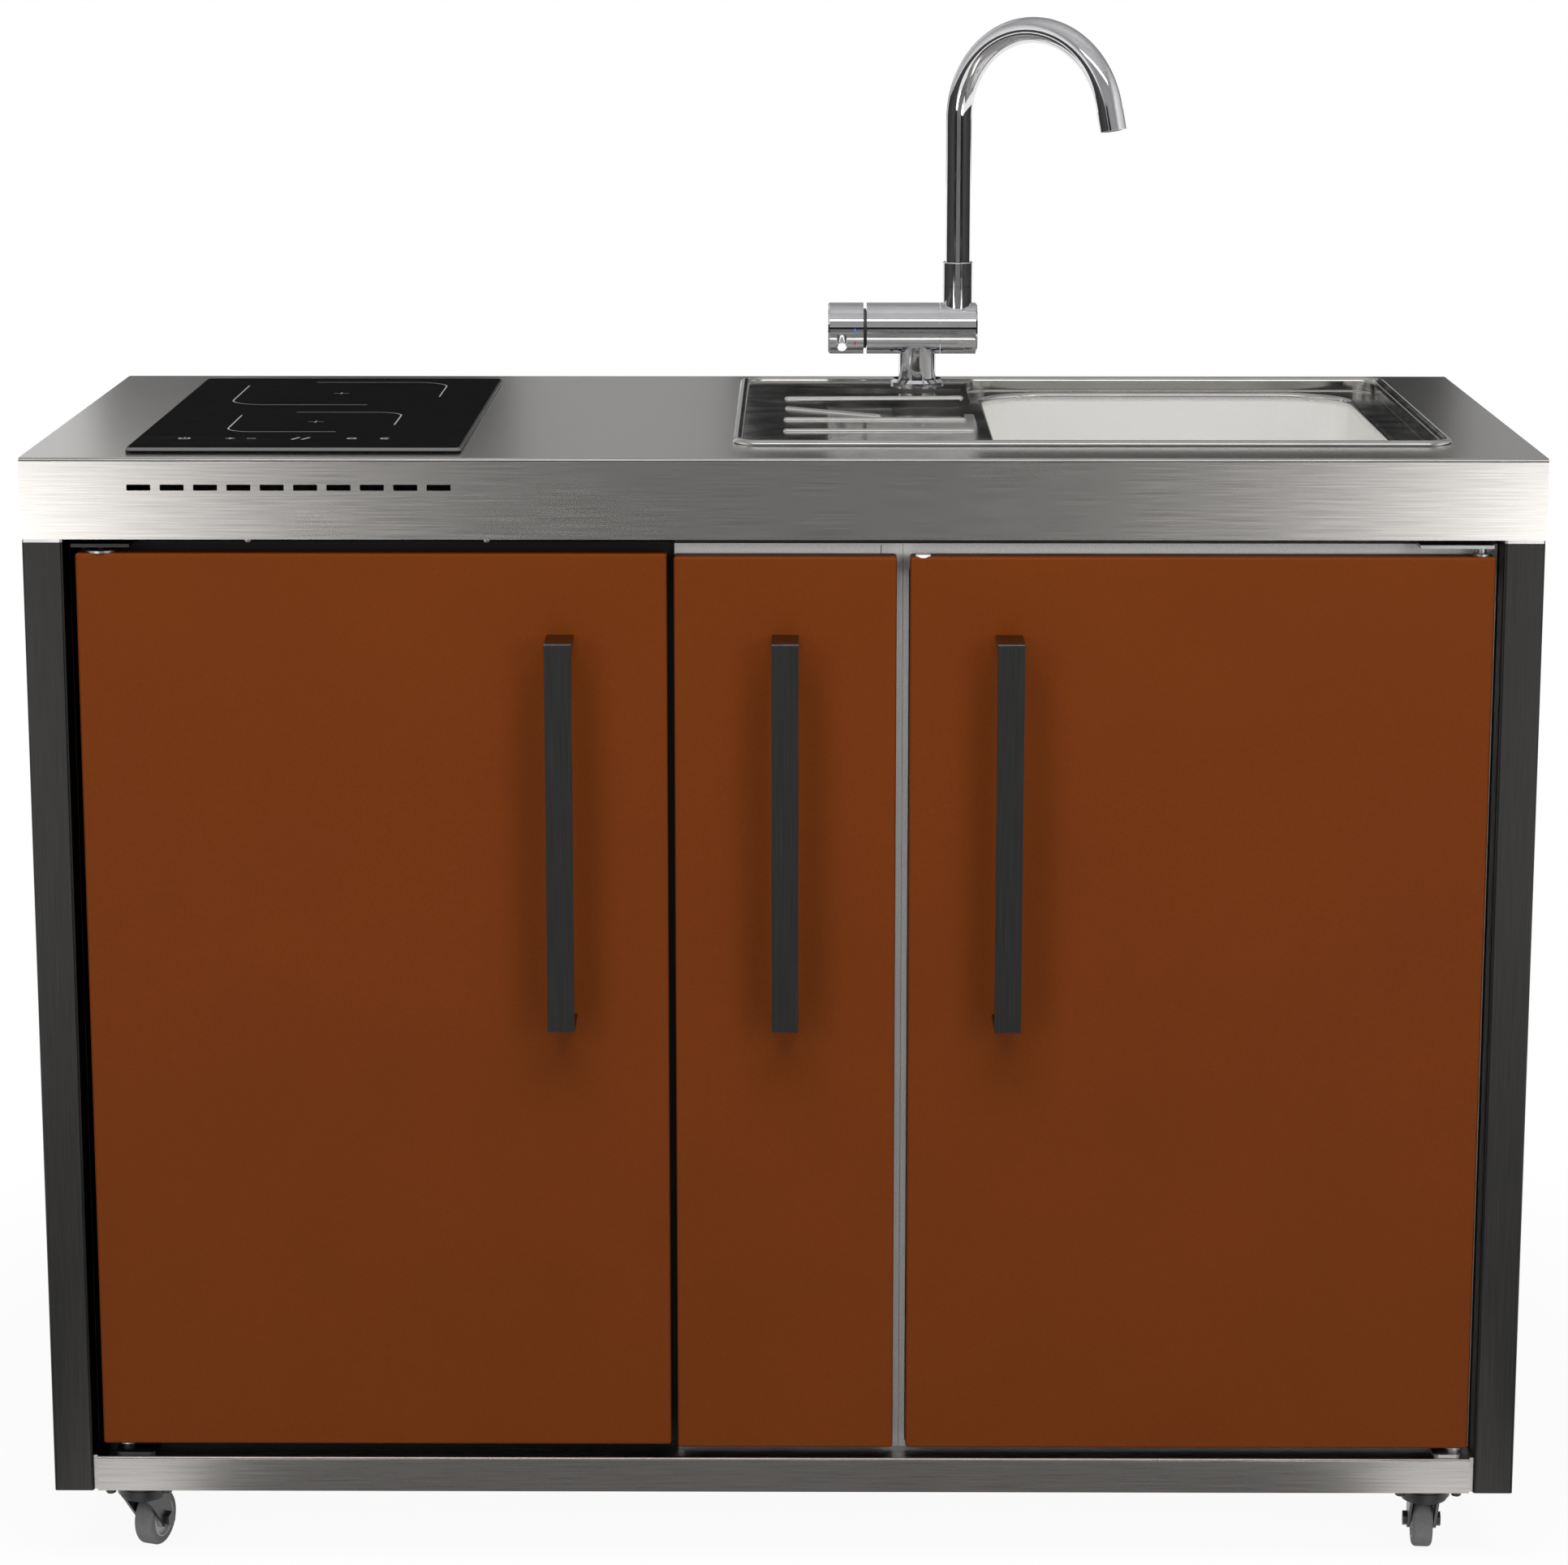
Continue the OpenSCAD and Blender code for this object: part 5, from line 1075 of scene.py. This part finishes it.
def lengthwise(x, y0, y1, z0, z1):
    """Corners of a sheet that stands along the room"""
    return [(x, y0, z0), (x, y1, z0), (x, y1, z1), (x, y0, z1)]


card_black = card_finish("card_black", 0.01)
card_slate = card_finish("card_slate", 0.05)
card_dim = card_finish("card_dim", 0.12)
card_grey = card_finish("card_grey", 0.42)
card_pale = card_finish("card_pale", 0.8, 0.06)
card_glow = card_finish("card_glow", 0.5, 3.2)
print("card finishes:", 6)

# %% [markdown]
# The photograph's front fascia is bright at both ends and dark in its middle. A dim card lies on
# the floor before the tray and rises towards the camera for the middle, and two glowing cards
# stand left and right of it for the ends. Black cards on the floor beside it keep the feet of the
# legs dark.

# %% Cards for the front
NEAR_HALF = 0.54
BEND_HALF = 1.1 * NEAR_HALF
FAR_HALF = 0.98
CARD_START = -0.34
CARD_BEND = -0.8
card("tray_card", [(-NEAR_HALF, CARD_START, 0.004), (NEAR_HALF, CARD_START, 0.004),
                   (BEND_HALF, CARD_BEND, 0.004), (-BEND_HALF, CARD_BEND, 0.004)], card_dim)
card("slope_card", [(-BEND_HALF, CARD_BEND, 0.004), (BEND_HALF, CARD_BEND, 0.004),
                    (FAR_HALF, -3.0, 1.1), (-FAR_HALF, -3.0, 1.1)], card_dim)
for name, side in (("left", -1), ("right", 1)):
    card("foot_card_" + name,
         [(side * 0.69, CARD_START, 0.003), (side * 1.1, CARD_START, 0.003),
          (side * 1.3, -1.5, 0.003), (side * 0.73, -1.5, 0.003)], card_black)
for name, x0, x1 in (("left", -2.3, -1.12), ("right", 1.12, 2.3)):
    card("glow_card_" + name, upright(x0, x1, -3.2, 0.05, 0.7), card_glow)
print("cards for the front:", 6)

# %% [markdown]
# A room of cards stands round it all: slate and black ones at the height of the tap, which give
# the chrome its dark bands, and pale walls and a ceiling above, so that the steel stays light from
# every side. Low black cards behind the unit are what the camera sees mirrored in the hob's glass
# and in the sink's rim. A narrow glowing strip overhead gives the tap its highlight.

# %% Room of cards
SIDE = 2.9
FRONT = -4.6
BACK = 2.6
CEILING = 3.9
SIDE_DARK = (0.5, 1.5)
LENS_DARK = (0.5, 1.9)
BACK_LOW = 1.02
for name, side in (("left", -1), ("right", 1)):
    x = side * SIDE
    card("side_card_" + name, lengthwise(x, FRONT, BACK, *SIDE_DARK), card_slate)
    card("side_wall_" + name, lengthwise(x, FRONT, BACK, SIDE_DARK[1], CEILING), card_pale)
card("lens_card", upright(-SIDE, SIDE, FRONT, *LENS_DARK), card_black)
card("front_wall", upright(-SIDE, SIDE, FRONT, LENS_DARK[1], CEILING), card_pale)
card("hob_card", upright(-1.06, -0.43, BACK - 0.1, 1.15, 1.46), card_black)
card("sink_card", upright(-0.08, 1.0, BACK - 0.1, 1.1, 1.55), card_black)
card("back_wall_left", upright(-SIDE, -0.8, BACK, BACK_LOW, CEILING), card_pale)
card("back_wall_right", upright(-0.8, SIDE, BACK, BACK_LOW, CEILING), card_grey)
card("ceiling", [(-SIDE, FRONT, CEILING), (SIDE, FRONT, CEILING),
                 (SIDE, BACK, CEILING), (-SIDE, BACK, CEILING)], card_pale)
card("strip_card", [(-1.6, -2.1, 2.9), (1.6, -2.1, 2.9), (1.6, -1.8, 3.05), (-1.6, -1.8, 3.05)],
     card_glow)
cards = [thing for thing in bpy.data.objects if thing.type == "MESH" and not thing.visible_diffuse]
print("cards:", len(cards))

# %% [markdown]
# ## The world
# The world is white to the camera, in gloss and through glass, as the floor is. For all other rays
# it is a soft and even light at about a quarter of that strength, which fills the shadows.

# %% World
AMBIENT = 0.26
world = bpy.data.worlds.new("studio_world")
bpy.context.scene.world = world
world.use_nodes = True
for old in list(world.node_tree.nodes):
    world.node_tree.nodes.remove(old)
ambient = add(world, "Background", Color=(1, 1, 1, 1), Strength=AMBIENT)
white = add(world, "Background", Color=(1, 1, 1, 1), Strength=1.0)
blend = add(world, "MixShader")
wire(world, shown_white(world), blend.inputs[0])
wire(world, ambient.outputs[0], blend.inputs[1])
wire(world, white.outputs[0], blend.inputs[2])
wire(world, blend.outputs[0], add(world, "OutputWorld").inputs["Surface"])
print("world ready")

# %% [markdown]
# ## Softboxes
# Two tall softboxes left and right of the camera light the doors evenly, and a wide one above and
# before the unit lights the worktop and the bowl. Gloss doesn't see them, because the cards make
# its picture. The wattages are set so that each colour renders about as it is written.

# %% Softboxes
def softbox(name, place, aim, width, height, watts):
    lamp = bpy.data.lights.new(name, "AREA")
    lamp.shape = "RECTANGLE"
    lamp.size = width
    lamp.size_y = height
    lamp.energy = watts
    box = bpy.data.objects.new(name, lamp)
    box.location = place
    box.rotation_euler = (Vector(aim) - Vector(place)).to_track_quat("-Z", "Y").to_euler()
    box.visible_camera = False
    box.visible_glossy = False
    bpy.context.scene.collection.objects.link(box)
    return box


MIDDLE = (0, 0, 0.6)
softbox("softbox_left", (-1.85, -3.2, 1.5), MIDDLE, 1.1, 1.5, 34)
softbox("softbox_right", (1.85, -3.2, 1.5), MIDDLE, 1.1, 1.5, 38)
softbox("softbox_top", (0, -1.7, 3.1), (0, -0.2, 0.9), 2.6, 1.4, 115)
print("softboxes:", 3)

# %% [markdown]
# ## Colour view
# Blender's Standard view shows colours as they are written.

# %% Finish
bpy.context.scene.view_settings.view_transform = "Standard"
bpy.context.view_layer.update()
